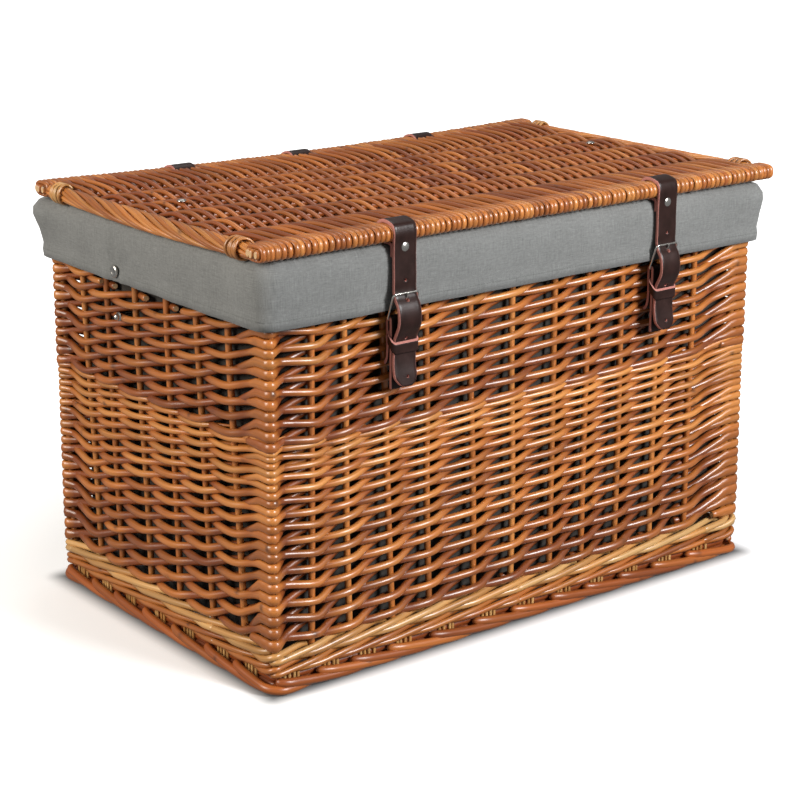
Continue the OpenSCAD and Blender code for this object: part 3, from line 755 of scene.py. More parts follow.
def uprights():
    depth = STAKE_DEPTH
    front = Rods(8)
    for i, x in enumerate(FRONT_XS):
        upright(front, x, -HY + depth, STAKE_R, (FRONT_LEANS[i], 0))
    ride(front.build("front_stake_rods", WILLOW, CUT), "root", "willow", "front_stakes")
    back = Rods(8)
    for x in BACK_XS:
        upright(back, x, HY - depth, STAKE_R)
    ride(back.build("back_stake_rods", WILLOW, CUT), "root", "willow", "back_stakes")
    for name, side, ys in (("left", -1, LEFT_YS), ("right", 1, RIGHT_YS)):
        rods = Rods(8)
        for i, y in enumerate(ys):
            upright(rods, side * (HX - depth), y, STAKE_R, (0, LEFT_LEANS[i] if side < 0 else 0))
        ride(rods.build(name + "_stake_rods", WILLOW, CUT), "root", "willow", name + "_stakes")
    posts = Rods(10)
    for start in STARTS[:4]:
        for before, depth in ((0, POST_INSET), (POST_BEFORE, STAKE_DEPTH)):
            x, y = wall_xy(np.array([start - before]), -depth)[0][0]
            if before == 0:
                x, y = math.copysign(HX - POST_INSET, x), math.copysign(HY - POST_INSET, y)
            upright(posts, x, y, POST_R)
    ride(posts.build("corner_post_rods", WILLOW, CUT), "root", "willow", "corner_posts")


def wale(name, node, slot, material, middle, r, tone, turns=3):
    """Rods that pass in front of two uprights and behind the third, climbing as they go."""
    rods = Rods(8)
    for j in range(turns):
        places, heights = [], []
        for i in range(-1, COUNT + 2):
            u, kind = station(i)
            phase = (i - j) % 3
            half = STAKE_R if kind == "stake" else POST_R
            if phase == 0:
                depth = -STAKE_DEPTH - half - 0.7 * r
                places.append((u, depth))
                heights += [(u - 9 * MM, middle + 1.5 * r), (u, middle),
                            (u + 9 * MM, middle - 1.7 * r)]
            else:
                places.append((u, -STAKE_DEPTH + half + 0.9 * r))
                heights.append((u, middle + (-r if phase == 1 else r) * 0.9))
        start = places[0][0]
        ends = np.linspace(0, ROUND, 6) + j * ROUND / 15 + 30 * MM
        for a, b in zip(ends[:-1], ends[1:]):
            u = fine_near_corners(a, b, 4.5 * MM, 3 * MM)
            x = np.mod(u - start, ROUND) + start
            n = eased(x, places, 8 * MM)
            z = eased(x, heights, 5 * MM) + RNG.normal(0, 0.2 * MM)
            points, normals = at_wall(u, n, z)
            rods.add(points, normals, r * 0.96, r, tone + RNG.normal(0, 0.12), 0.15)
    ride(rods.build(name, material, CUT), "root", slot, node)


def foot():
    """The rolled foot border: each rod comes out over the one before, turns sharply and runs on
    down under the basket. Thin pegs stand in the gaps above."""
    rods = Rods(10)
    pegs = Rods(6)
    r = 4.1 * MM
    for i in range(COUNT):
        u = station(i)[0]
        gap = station(i + 1)[0] - u
        if gap < 25 * MM:
            continue
        u += RNG.normal(0, 2 * MM)
        c = np.array([  # distance, outwards, height
            (u, -2.2 * MM, 12.4 * MM), (u + 10 * MM, 1.2 * MM, 11.6 * MM),
            (u + 30 * MM, 2.2 * MM, 9.2 * MM), (u + 58 * MM, 2.0 * MM, 6.2 * MM),
            (u + 88 * MM, 0.4 * MM, 4.4 * MM), (u + 118 * MM, -6.5 * MM, 4.3 * MM)])
        x = np.concatenate([[u, u + 0.8 * MM, u + 2 * MM, u + 3.6 * MM],
                            np.arange(u + 6 * MM, c[-1, 0], 4 * MM)])
        n, z = smooth(x, c[:, 0], c[:, 1]), smooth(x, c[:, 0], c[:, 2])
        points, normals = at_wall(x, n, z, radius=14 * MM)
        head = np.ones(len(x))
        head[:4] = 0.42, 0.72, 0.9, 0.98
        half_n, half_b = head * r * RNG.uniform(0.93, 1.04), head * r * RNG.uniform(0.95, 1.05)
        rods.add(points, normals, half_n, half_b, 0.45 + RNG.normal(0, 0.15), 0.14)
        for k in range(4):
            at = u + gap * 0.28 + k * 5.2 * MM + RNG.normal(0, 0.7 * MM)
            z = np.linspace(5 * MM, 20 * MM, 5)
            points, normals = at_wall(np.full(5, at), -5.5 * MM, z)
            pegs.add(points, normals, 1.7 * MM, 1.7 * MM, RNG.uniform(0.5, 1))
    u = np.arange(0, ROUND + 1 * MM, 8 * MM)
    # Painted shade: three rounds of rods behind the foot, at the darkest bark tone, fill the gaps where
    # only shade shows
    for z in (5, 12, 18):  # dark rods behind, which close the gaps
        points, normals = at_wall(u, -9.5 * MM, z * MM)
        rods.add(points, normals, 3.4 * MM, 3.8 * MM, -0.6)
    ride(rods.build("foot_border_rods", DARK_WILLOW, CUT), "root", "dark_willow", "foot_border")
    ride(pegs.build("upsett_pegs", PALE_WILLOW, CUT), "root", "pale_willow")


def rim():
    """The rim border under the cloth, five rods rolled round the walls."""
    rods = Rods(8)
    r = 4.5 * MM
    u = np.arange(0, ROUND + 1 * MM, 8 * MM)
    for k in range(5):
        turn = 2 * math.pi * (u / (ROUND / 26) + k / 5)
        n = -5.5 * MM + 4.6 * MM * np.cos(turn)
        z = (RIM_LOW + RIM_TOP) / 2 + 5.6 * MM * np.sin(turn)
        points, normals = at_wall(u, n, z)
        rods.add(points, normals, r, r, 0.5)
    ride(rods.build("rim_border_rods", DARK_WILLOW, CUT), "root", "dark_willow", "rim_border")


def base():
    """Five long sticks with rods woven across them."""
    lo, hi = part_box("base_weave")
    stick_lo, stick_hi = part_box("base_sticks")
    sticks = Rods(8)
    z = (stick_lo.z + stick_hi.z) / 2
    r = (stick_hi.z - stick_lo.z) / 2
    ys = np.linspace(stick_lo.y + r, stick_hi.y - r, 5)
    for y in ys:
        x = np.linspace(stick_lo.x, stick_hi.x, 30)
        p = np.stack([x, np.full_like(x, y), np.full_like(x, z)], -1)
        sticks.add(p, (0, 0, 1), r, r, 0.5, 0.15)
    ride(sticks.build("base_stick_rods", DARK_WILLOW, CUT), "root", "dark_willow", "base_sticks")
    rods = Rods(6)
    pitch = 6.6 * MM
    reach = 2.5 * MM
    edge = [lo.y + reach, hi.y - reach]
    for k, x in enumerate(np.arange(lo.x + pitch, hi.x - pitch / 2, pitch)):
        sign = 1 if k % 2 else -1
        c = [(edge[0], 0)] + [(y, sign * (-1) ** i) for i, y in enumerate(ys)] + [(edge[1], 0)]
        y = np.arange(edge[0], edge[1], 7 * MM)
        h = eased(y, c, 9 * MM) * (r + 2.2 * MM)
        p = np.stack([x + RNG.normal(0, 0.3 * MM) + 0 * y, y, z + h], -1)
        rods.add(p, (0, 0, 1), 2.4 * MM, 2.9 * MM, RNG.uniform(0.3, 0.8), 0.2)
    ride(rods.build("base_weave_rods", WILLOW, CUT), "root", "willow", "base_weave")


# ---------------------------------------------------------------- lid
LID_STICKS = 6
LID_PITCH = 6.15 * MM
RAIL_FRONT_Y = (LID_LO.y + LID_HI.y) / 2
RAIL_BACK_Y = (LID_BACK[0].y + LID_BACK[1].y) / 2
RAIL_HALF = (LID_HI.y - LID_LO.y) / 2
BACK_SAG = 5 * MM


def lid_sag(x, y):
    """How far the lid hangs below its plane: the back rail dips in the middle."""
    share = (y - RAIL_FRONT_Y) / (RAIL_BACK_Y - RAIL_FRONT_Y)
    return -BACK_SAG * np.clip(share, 0, 1) ** 2 * (1 - (x / HX) ** 2).clip(0)


# Each rail is three cores side by side, wrapped by the lid's weavers
CORE_STEP = 6.0 * MM
CORE_HALF_Y, CORE_HALF_Z = 3.1 * MM, 4.3 * MM


def lid_rods():
    stick_r = 3.4 * MM
    r = 2.35 * MM
    ys = RAIL_FRONT_Y + (RAIL_BACK_Y - RAIL_FRONT_Y) * np.arange(1, LID_STICKS + 1) / (LID_STICKS + 1)
    sticks = Rods(8)
    half = HX + 2 * MM
    for y in ys:
        x = np.linspace(-half, half, 60)
        p = np.stack([x, np.full_like(x, y), LID_Z + lid_sag(x, y)], -1)
        sticks.add(p, (0, 0, 1), stick_r, stick_r, 0.4, 0.15)
    ride(sticks.build("lid_stick_rods", DARK_WILLOW, CUT), "lid", "dark_willow", "lid_sticks")
    for node, y in (("lid_front_rail", RAIL_FRONT_Y), ("lid_back_rail", RAIL_BACK_Y)):
        rods = Rods(12)
        for k in (-1, 0, 1):
            end = LID_HI.x - abs(k) * 1.2 * MM
            x = np.linspace(-end, end, 60)
            p = np.stack([x, np.full_like(x, y + k * CORE_STEP), LID_Z + lid_sag(x, y)], -1)
            rods.add(p, (0, 0, 1), CORE_HALF_Z, CORE_HALF_Y, 0.6 + RNG.normal(0, 0.1), 0.2)
        ride(rods.build(node + "_cores", WILLOW, CUT), "lid", "willow", node)
    weave_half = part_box("lid_weave")[1].x
    xs = np.arange(-weave_half + 2 * MM, weave_half - 2 * MM, LID_PITCH)
    halves = [Rods(8), Rods(8)]
    for k, x0 in enumerate(xs):
        lid_weaver(halves[int(x0 > 0)], x0 + RNG.normal(0, 0.3 * MM), k, ys, stick_r, r)
    for side in (-1, 1):
        for y in (RAIL_FRONT_Y, RAIL_BACK_Y):
            for x in np.arange(weave_half - 0.5 * MM, LID_HI.x - 2.5 * MM, 4.6 * MM):
                rail_wrap(halves[int(side > 0)], side * x, y, r)
    ride(halves[0].build("lid_weave_left_half", WILLOW, CUT), "lid", "willow", "lid_weave")
    ride(halves[1].build("lid_weave_right_half", WILLOW, CUT), "lid", "willow")


def rail_section(angles, hug):
    """Points (y, z) round a rail's three cores at angles in degrees, hug outside them."""
    a = np.radians(np.asarray(angles, float))
    power = 0.62
    y = (CORE_STEP + CORE_HALF_Y + hug) * np.sign(np.cos(a)) * np.abs(np.cos(a)) ** power
    z = (CORE_HALF_Z + hug) * np.sign(np.sin(a)) * np.abs(np.sin(a)) ** power
    return y, z


def rail_wrap(rods, x0, y0, r):
    """One closed turn round a rail, near the lid's corner."""
    angles = np.arange(-100, 265, 12)
    y, z = rail_section(angles, 0.72 * r)
    x = np.full_like(y, x0 + RNG.normal(0, 0.2 * MM))
    p = np.stack([x, y0 + y, LID_Z + z + lid_sag(x0, y0 + y)], -1)
    out = np.stack([0 * y, np.cos(np.radians(angles)), np.sin(np.radians(angles))], -1)
    rods.add(p, out, 0.8 * r, 1.12 * r, 0.35 + 0.3 * RNG.uniform(0, 1))


def lid_weaver(rods, x0, k, ys, stick_r, r):
    """One rod from under the front rail, round it, over and under the sticks, round the back."""
    r = r * RNG.uniform(0.94, 1.08)
    sign = 1 if k % 2 else -1
    y1, z1 = rail_section([285, 262, 240, 220, 200, 180, 160, 140, 120, 98, 75], 0.75 * r)
    path = [(RAIL_FRONT_Y + RAIL_HALF + 4 * MM, z1[0] * 0.9)]
    path += list(zip(RAIL_FRONT_Y + y1, z1))
    amp = stick_r + 0.72 * r
    path += [(y, sign * amp * (-1) ** i) for i, y in enumerate(ys)]
    path += list(zip(RAIL_BACK_Y - y1[::-1], z1[::-1]))
    path += [(RAIL_BACK_Y - RAIL_HALF - 4 * MM, z1[0] * 0.9)]
    p2 = through(path, 3.0 * MM)
    bow = RNG.normal(0, 0.35 * MM) * np.sin(p2[:, 0] * 30 + RNG.uniform(0, 6))
    p = np.stack([x0 + bow, p2[:, 0], LID_Z + p2[:, 1] + lid_sag(x0, p2[:, 0])], -1)
    middle = (RAIL_FRONT_Y + RAIL_BACK_Y) / 2
    to_rail = np.abs(p2[:, 0] - middle) - (RAIL_BACK_Y - middle) + RAIL_HALF
    at_rail = np.clip((to_rail + 5 * MM) / (8 * MM), 0, 1)
    tone = 0.05 + 0.4 * RNG.uniform(0, 1) + 0.3 * at_rail
    tangent = np.gradient(p, axis=0)
    up = np.cross(unit(tangent), (1.0, 0, 0))
    rods.add(p, -up, r * (0.92 - 0.12 * at_rail), r * (1.0 + 0.24 * at_rail), tone, 0.25)


def lid_ends():
    """A twisted bundle of rods along each end of the lid, with bindings near its corners."""
    for name, side in (("left", -1), ("right", 1)):
        lo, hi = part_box("lid_plait_" + name)
        x0 = (lo.x + hi.x) / 2 - side * 0.5 * MM
        rods = Rods(10)
        y = np.arange(lo.y - 6 * MM, hi.y + 6 * MM, 5 * MM)
        middle = np.cos((y - (lo.y + hi.y) / 2) / (hi.y - lo.y) * math.pi).clip(0)
        for k in range(11):
            spread = (5.0 + 1.6 * middle) * MM if k else 0 * middle
            turn = 2 * math.pi * (y / 0.17 + k / 10 + 0.02 * math.sin(k * 2.4)) * side
            p = np.stack([x0 + spread * np.cos(turn), y,
                          LID_Z - (1.2 + 2.2 * middle) * MM + spread * 1.05 * np.sin(turn)], -1)
            half = (1.95 + 0.25 * middle) * MM if k else (3.6 + 1.4 * middle) * MM
            rods.add(p, (side, 0, 0.6), half, half, 0.62 + RNG.normal(0, 0.14), 0.15)
        ride(rods.build("lid_end_bundle_" + name, WILLOW, CUT), "lid", "willow", "lid_plait_" + name)
    lo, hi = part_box("lid_bindings")
    rods = Rods(8)
    for side in (-1, 1):
        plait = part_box("lid_plait_" + ("left" if side < 0 else "right"))
        x0 = (plait[0].x + plait[1].x) / 2
        for y0, lean in ((lo.y + 7 * MM, 1), (hi.y - 7 * MM, -1)):
            for k in range(5):
                t = np.linspace(0, 2 * math.pi, 25)
                slant = (k - 2) * 2.9 * MM + lean * 2.8 * MM * np.cos(t) * (1 if k % 2 else -1)
                p = np.stack([x0 + 9.2 * MM * np.cos(t), y0 + slant,
                              LID_Z - 0.8 * MM + 9.2 * MM * np.sin(t)], -1)
                out = np.stack([np.cos(t), 0 * t, np.sin(t)], -1)
                rods.add(p, out, 1.3 * MM, 1.9 * MM, (0.6 if lean < 0 else -0.7) + RNG.normal(0, 0.1))
    ride(rods.build("lid_corner_bindings", PALE_WILLOW, CUT), "lid", "pale_willow", "lid_bindings")


# ---------------------------------------------------------------- cloth liner
HEM_Z = 341 * MM
# Heights between which the bag steps back from the lower halves of the lid stays
STAY_CLEAR_HI, STAY_CLEAR_LO = 270 * MM, 200 * MM
CLOTH_THICK = 1.3 * MM


def liner():
    """A bag of linen. Its mouth is turned out over the rim and hangs as a skirt with a hem."""
    skirt = LINER_HI.x - HX
    hem, top = HEM_Z, LINER_HI.z
    floor = LINER_LO.z + 1.5 * MM
    columns = 480
    u = np.linspace(0, ROUND, columns, endpoint=False)
    profile = [  # outwards, height, corner radius
        (skirt - 1.0 * MM, hem, 5), (skirt - 0.6 * MM, hem + 8 * MM, 5),
        (skirt - 1.1 * MM, hem + 9 * MM, 5),
        (skirt - 0.2 * MM, hem + 20 * MM, 6), (skirt + 0.4 * MM, hem + 38 * MM, 8),
        (skirt - 0.6 * MM, hem + 50 * MM, 10), (skirt - 3.2 * MM, top - 3.2 * MM, 13),
        (skirt - 6.5 * MM, top - 0.8 * MM, 16), (-2 * MM, top, 22), (-9 * MM, top - 0.3 * MM, 28),
        (-14 * MM, top - 3 * MM, 30), (-16.2 * MM, top - 10 * MM, 31), (-16.6 * MM, top - 40 * MM, 32),
        (-16.6 * MM, STAY_CLEAR_HI, 32), (-19 * MM, STAY_CLEAR_LO, 33),
        (-21.5 * MM, floor + 30 * MM, 33), (-24 * MM, floor + 8 * MM, 33),
        (-32 * MM, floor + 1 * MM, 33), (-60 * MM, floor, 33), (-110 * MM, floor, 30),
        (-150 * MM, floor, 18), (-HY + 2 * MM, floor, 6)]
    profile = np.array([(a, b, c * MM) for a, b, c in profile])
    fine = through(profile * np.array([1, 1, 0.2]), 7 * MM)
    fine[:, 2] /= 0.2
    rows = len(fine)
    along = distances(fine[:, :2])
    n = np.repeat(fine[:, 0][:, None], columns, 1)
    z = np.repeat(fine[:, 1][:, None], columns, 1)
    grid_u = np.repeat(u[None], rows, 0)
    n += liner_folds(grid_u, z, n, top)
    xy, _ = wall_xy(grid_u, n, radius=fine[:, 2][:, None], least=4 * MM)
    verts = np.concatenate([xy, z[..., None]], -1).reshape(-1, 3)
    i = np.arange(rows - 1)[:, None] * columns
    j = np.arange(columns)
    k = (j + 1) % columns
    faces = np.stack([i + j, i + k, i + k + columns, i + j + columns], -1).reshape(-1, 4)
    obj = make_object("cloth_liner", verts, faces.tolist(), [LINEN])
    cloth = np.stack([grid_u, np.repeat(along[:, None], columns, 1), np.zeros_like(grid_u)], -1)
    vector_attribute(obj, "cloth", cloth.reshape(-1, 3))
    bm = bmesh.new()
    bm.from_mesh(obj.data)
    centre = [v for v in bm.verts if v.co.z < floor + 1 * MM and abs(v.co.y) < 3 * MM]
    bmesh.ops.remove_doubles(bm, verts=centre, dist=4.5 * MM)
    bm.to_mesh(obj.data)
    bm.free()
    solid = obj.modifiers.new("thickness", "SOLIDIFY")
    solid.thickness = CLOTH_THICK
    solid.offset = 0
    apply_modifiers(obj)
    half = STRAP_W / 2 + 1 * MM
    slits = [box_mesh((x - half, HY - 8 * MM, RIM_TOP - 8 * MM),
                      (x + half, HY + skirt - 2.2 * MM, top + 6 * MM)) for x in HINGE_XS]
    cut_away(obj, slits)
    ride(obj, "root", "liner_cloth", "liner")


def liner_folds(u, z, n, top):
    """Small waves in the skirt, folds that meet at the studs, and slack in the bag."""
    outside = np.clip(n / (5 * MM), 0, 1)
    inside = np.clip((-n - 12 * MM) / (5 * MM), 0, 1)
    inside = inside * np.clip((z - LINER_LO.z - 5 * MM) / (60 * MM), 0, 1)
    shape = np.zeros_like(u)
    for _ in range(7):
        length = RNG.uniform(0.05, 0.22)
        wave = np.sin(2 * math.pi * (round(ROUND / length) * u / ROUND) + RNG.uniform(0, 6)
                      + z * RNG.uniform(-25, 25))
        shape += outside * wave * RNG.uniform(0.15, 0.4) * MM
        shape += inside * wave * RNG.uniform(0.5, 1.3) * MM
    stud_z = (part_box("liner_stud_left")[0].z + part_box("liner_stud_left")[1].z) / 2
    stud_y = (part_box("liner_stud_left")[0].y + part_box("liner_stud_left")[1].y) / 2
    for at in (STARTS[3] + HY - stud_y, STARTS[1] + HY + stud_y):
        du, dz = u - at, z - stud_z
        far = np.hypot(du, dz)
        spokes = np.sin(np.arctan2(dz, du) * 7 + 0.8)
        shape += outside * spokes * 1.1 * MM * np.exp(-((far - 16 * MM) / (16 * MM)) ** 2)
        shape -= outside * 1.6 * MM * np.exp(-((far / (9 * MM)) ** 2))
    for at, much in ((STARTS[3], 9 * MM), (STARTS[1], 5 * MM), (STARTS[2], 6 * MM)):
        du = np.minimum(np.abs(u - at), ROUND - np.abs(u - at))
        flare = np.exp(-((du / (45 * MM)) ** 2)) * np.exp(-(((z - top + 12 * MM) / (16 * MM)) ** 2))
        shape += outside * flare * much
    return shape


def apply_modifiers(obj):
    bpy.context.view_layer.update()
    depsgraph = bpy.context.evaluated_depsgraph_get()
    mesh = bpy.data.meshes.new_from_object(obj.evaluated_get(depsgraph))
    obj.modifiers.clear()
    obj.data = mesh


def box_mesh(lo, hi):
    bm = bmesh.new()
    bmesh.ops.create_cube(bm, size=1)
    for v in bm.verts:
        v.co = [lo[k] if v.co[k] < 0 else hi[k] for k in range(3)]
    return from_bmesh("cutter", bm)


def from_bmesh(name, bm):
    mesh = bpy.data.meshes.new(name)
    bm.to_mesh(mesh)
    bm.free()
    obj = bpy.data.objects.new(name, mesh)
    bpy.context.scene.collection.objects.link(obj)
    return obj


def cut_away(obj, cutters):
    """Takes every cutter out of obj."""
    for cutter in cutters:
        cut = obj.modifiers.new("cut", "BOOLEAN")
        cut.operation = "DIFFERENCE"
        cut.solver = "EXACT"
        cut.object = cutter
    apply_modifiers(obj)
    for cutter in cutters:
        bpy.data.objects.remove(cutter)


# ---------------------------------------------------------------- leather
def strap(name, path, width, thick=LEATHER, tip=0.0, step=1.6 * MM):
    """A flat strap along path, a list of (x, y, z) whose width lies along X, with pale raw edges.
    tip is the length of a pointed end."""
    p = through(path, step)
    tangent = unit(np.gradient(p, axis=0))
    wide = np.array([1.0, 0, 0])
    face = unit(np.cross(tangent, wide))
    bevel = 0.45 * MM
    along = distances(p)
    half = np.full(len(p), width / 2)
    if tip:
        left = along[-1] - along
        narrow = width / 2 * (0.32 + 0.68 * np.sqrt(np.clip(left / tip, 0, 1)))
        half = np.where(left < tip, narrow, half)
    h = thick / 2
    columns = 9
    rows = []
    for w in half:
        flat = np.linspace(-w + bevel, w - bevel, columns)
        top = [(x, h) for x in flat]
        bottom = [(x, -h) for x in flat[::-1]]
        rows.append(np.array(top + [(w, h - bevel), (w, -h + bevel)]
                             + bottom + [(-w, -h + bevel), (-w, h - bevel)]))
    rows = np.array(rows)
    ring = rows.shape[1]
    verts = p[:, None] + wide * rows[..., 0:1] + face[:, None] * rows[..., 1:2]
    edge_columns = {columns - 1, columns, columns + 1,
                    2 * columns + 1, 2 * columns + 2, 2 * columns + 3}
    faces, kind = [], []
    for i in range(len(p) - 1):
        for j in range(ring):
            k = (j + 1) % ring
            faces.append((i * ring + j, (i + 1) * ring + j, (i + 1) * ring + k, i * ring + k))
            kind.append(1 if j in edge_columns else 0)
    faces += [tuple(range(ring)), tuple((len(p) - 1) * ring + j for j in reversed(range(ring)))]
    kind += [1, 1]
    obj = make_object(name, verts.reshape(-1, 3), faces, [HIDE, RAW], kind)
    hide = np.stack([np.repeat(along[:, None], ring, 1), rows[..., 0], rows[..., 1]], -1)
    vector_attribute(obj, "hide", hide.reshape(-1, 3))
    face_outwards(obj)
    return obj


def turned(name, outline, place, axis, material, segments=24):
    """A round part: outline is (distance along axis, radius) from one end to the other."""
    axis = unit(np.array(axis, float))
    side = unit(np.cross(axis, (0.3, 0.5, 0.8)))
    other = np.cross(axis, side)
    a = np.linspace(0, 2 * math.pi, segments, endpoint=False)
    rings = [np.array(place) + axis * d + r * (np.cos(a)[:, None] * side + np.sin(a)[:, None] * other)
             for d, r in outline]
    verts = np.concatenate(rings)
    faces = []
    for i in range(len(outline) - 1):
        for j in range(segments):
            k = (j + 1) % segments
            faces.append((i * segments + j, i * segments + k,
                          (i + 1) * segments + k, (i + 1) * segments + j))
    faces += [tuple(reversed(range(segments))),
              tuple((len(outline) - 1) * segments + j for j in range(segments))]
    return make_object(name, verts, faces, [material])


def dome(r, h, steps=5):
    """Outline of a domed head of radius r and height h, with a small rim."""
    rows = [(0, r * 0.96), (0.15 * h, r)]
    rows += [(h * (0.15 + 0.85 * math.sin(a)), r * math.cos(a) + 0.01 * MM)
             for a in np.linspace(0.15, 1.45, steps)]
    return rows


def hole_cutter(place, r, depth=8 * MM):
    return turned("cutter", [(-depth / 2, r), (depth / 2, r)], place, (0, 1, 0), RAW, 16)


def join(name, parts):
    """One object of several that share their materials."""
    bm = bmesh.new()
    materials = []
    for part in parts:
        start = len(bm.faces)
        bm.from_mesh(part.data)
        bm.faces.ensure_lookup_table()
        for m in part.data.materials:
            if m not in materials:
                materials.append(m)
        for f in bm.faces[start:]:
            f.material_index = materials.index(part.data.materials[f.material_index])
    for part in parts:
        bpy.data.objects.remove(part)
    obj = from_bmesh(name, bm)
    for m in materials:
        obj.data.materials.append(m)
    return obj


def wire(name, points, r, closed=False, ref=(1, 0, 0), sides=12):
    """A bent wire of round section."""
    p = np.array(points, float)
    if closed:
        tangent = unit(np.roll(p, -1, 0) - np.roll(p, 1, 0))
    else:
        tangent = unit(np.gradient(p, axis=0))
    n = np.broadcast_to(np.array(ref, float), p.shape)
    n = unit(n - (n * tangent).sum(-1, keepdims=True) * tangent)
    b = np.cross(tangent, n)
    a = np.linspace(0, 2 * math.pi, sides, endpoint=False)
    radius = np.broadcast_to(np.asarray(r, float), len(p))
    verts = (p[:, None] + radius[:, None, None] * (np.cos(a)[None, :, None] * n[:, None]
                                                   + np.sin(a)[None, :, None] * b[:, None]))
    count = len(p)
    faces = []
    for i in range(count if closed else count - 1):
        m = (i + 1) % count
        for j in range(sides):
            k = (j + 1) % sides
            faces.append((i * sides + j, m * sides + j, m * sides + k, i * sides + k))
    if not closed:
        faces += [tuple(range(sides)),
                  tuple((count - 1) * sides + j for j in reversed(range(sides)))]
    return make_object(name, verts.reshape(-1, 3), faces, [NICKEL])


# Heights and places on the straps, from the frame
RAIL_OUT_Y = LID_LO.y
HEEL_R = 1.1 * MM
HEEL_Y = BUCKLE_HI.y - HEEL_R
HEEL_Z = BUCKLE_LO.z + HEEL_R
BAR_Y = BUCKLE_LO.y + HEEL_R
BAR_Z = BUCKLE_HI.z - HEEL_R
STRAP_TIP_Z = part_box("lid_strap_right")[0].z
RIVET_LO, RIVET_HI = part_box("strap_rivet_right")
RIVET_Z = (RIVET_LO.z + RIVET_HI.z) / 2
CHAPE_TAIL_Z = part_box("buckle_strap_right")[0].z
# The narrow end of the buckle strap turns inwards between two stakes at these heights
CHAPE_BEND_Z, CHAPE_IN_Z = 296 * MM, 291 * MM
LID_STRAP_THICK, CHAPE_THICK = 3.4 * MM, 3.0 * MM


def front_straps():
    for name, side in (("left", -1), ("right", 1)):
        x = side * STRAP_X
        y0 = RAIL_OUT_Y - 1.6 * MM
        top = LID_HI.z + 1.6 * MM
        low = LID_LO.z - 1.6 * MM
        inner = LID_HI.y + 1.6 * MM
        path = [(x, y0 + 2.9 * MM, RIVET_Z - 8.5 * MM), (x, y0 + 2.8 * MM, RIVET_Z - 2 * MM),
                (x, y0 + 3.4 * MM, low - 1.2 * MM), (x, y0 + 6.5 * MM, low), (x, inner - 4 * MM, low),
                (x, inner, low + 4 * MM), (x, inner, top - 4 * MM), (x, inner - 4 * MM, top),
                (x, y0 + 5 * MM, top), (x, y0 + 1.2 * MM, top - 1.6 * MM),
                (x, y0 - 0.4 * MM, top - 6 * MM),
                (x, y0 - 0.2 * MM, RIVET_Z + 3 * MM), (x, y0, RIVET_Z - 4 * MM),
                (x, y0 - 0.3 * MM, BAR_Z + 12 * MM), (x, BAR_Y + 2.5 * MM, BAR_Z + 2 * MM),
                (x, BAR_Y + 1.0 * MM, BAR_Z - 4 * MM), (x, BAR_Y - 3.0 * MM, BAR_Z - 10 * MM),
                (x, BAR_Y - 5.4 * MM, BAR_Z - 19 * MM), (x, BAR_Y - 5.0 * MM, HEEL_Z - 3 * MM),
                (x + 0.3 * MM, BAR_Y - 1.0 * MM, HEEL_Z - 11 * MM),
                (x + 0.5 * MM, BAR_Y + 2.2 * MM, HEEL_Z - 17 * MM),
                (x + 0.2 * MM, BAR_Y + 2.6 * MM, HEEL_Z - 26 * MM),
                (x - 1.4 * MM, BAR_Y + 1.4 * MM, HEEL_Z - 40 * MM),
                (x - 1.6 * MM, BAR_Y - 0.6 * MM, STRAP_TIP_Z + 10 * MM),
                (x - 0.4 * MM, BAR_Y - 2.4 * MM, STRAP_TIP_Z)]
        piece = strap("lid_strap_leather_" + name, path, STRAP_W, thick=LID_STRAP_THICK, tip=9 * MM)
        cutters = [hole_cutter((x, BAR_Y + 1 * MM, BAR_Z - 6 * MM), 1.7 * MM, 9 * MM)]
        cutters += [hole_cutter((x, BAR_Y, BAR_Z - 6 * MM + k * 17.5 * MM), 1.4 * MM, 9 * MM)
                    for k in (1, -1, -2, -4)]
        cut_away(piece, cutters)
        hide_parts("lid_strap_" + name)
        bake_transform(piece)
        head = turned("strap_rivet_head_" + name, dome(4.6 * MM, 1.9 * MM), (x, y0 - 1.0 * MM, RIVET_Z),
                      (0, -1, 0), NICKEL)
        ride(head, "lid", "nickel", "strap_rivet_" + name)
        buckle(name, x)
        chape(name, side)


def buckle(name, x):
    """Wire frame with rounded corners, and the prong that turns on its lower bar."""
    width = BUCKLE_HI.x - BUCKLE_LO.x - 2 * HEEL_R
    corner = 3.2 * MM
    up = np.array([0, BAR_Y - HEEL_Y, BAR_Z - HEEL_Z])
    length = np.linalg.norm(up)
    up = up / length
    flat = []
    for cx, cy, a0 in ((1, 1, 0), (-1, 1, 90), (-1, -1, 180), (1, -1, 270)):
        for a in np.radians(np.linspace(a0, a0 + 90, 7)):
            flat.append((cx * (width / 2 - corner) + corner * math.cos(a),
                         length / 2 + cy * (length / 2 - corner) + corner * math.sin(a)))
    points = [np.array([x + a, HEEL_Y, HEEL_Z]) + up * b for a, b in flat]
    out = np.cross((1, 0, 0), up)
    ride(wire("buckle_wire_" + name, points, HEEL_R, closed=True, ref=out), "frame_" + name, "nickel",
         "buckle_" + name)
    lo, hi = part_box("prong_" + name)
    tip = np.array([x, lo.y + HEEL_R, hi.z - HEEL_R])
    root = np.array([x, HEEL_Y, HEEL_Z])
    along = unit(tip - root)
    cross = np.cross(along, (1, 0, 0))
    coil = [root + (math.cos(a) * along + math.sin(a) * cross) * 2.1 * MM
            for a in np.radians(np.arange(60, 330, 15))]
    shank = np.linspace(3.4 * MM, np.linalg.norm(tip - root), 14)
    points = coil[::-1] + [root + along * d for d in shank]
    p = through(points, 1.2 * MM)
    left = np.linalg.norm(p - tip, axis=1)
    r = HEEL_R * np.clip(0.62 + 0.38 * left / (7 * MM), 0.62, 1)
    ride(wire("prong_wire_" + name, p, r), "tongue_" + name, "nickel", "prong_" + name)


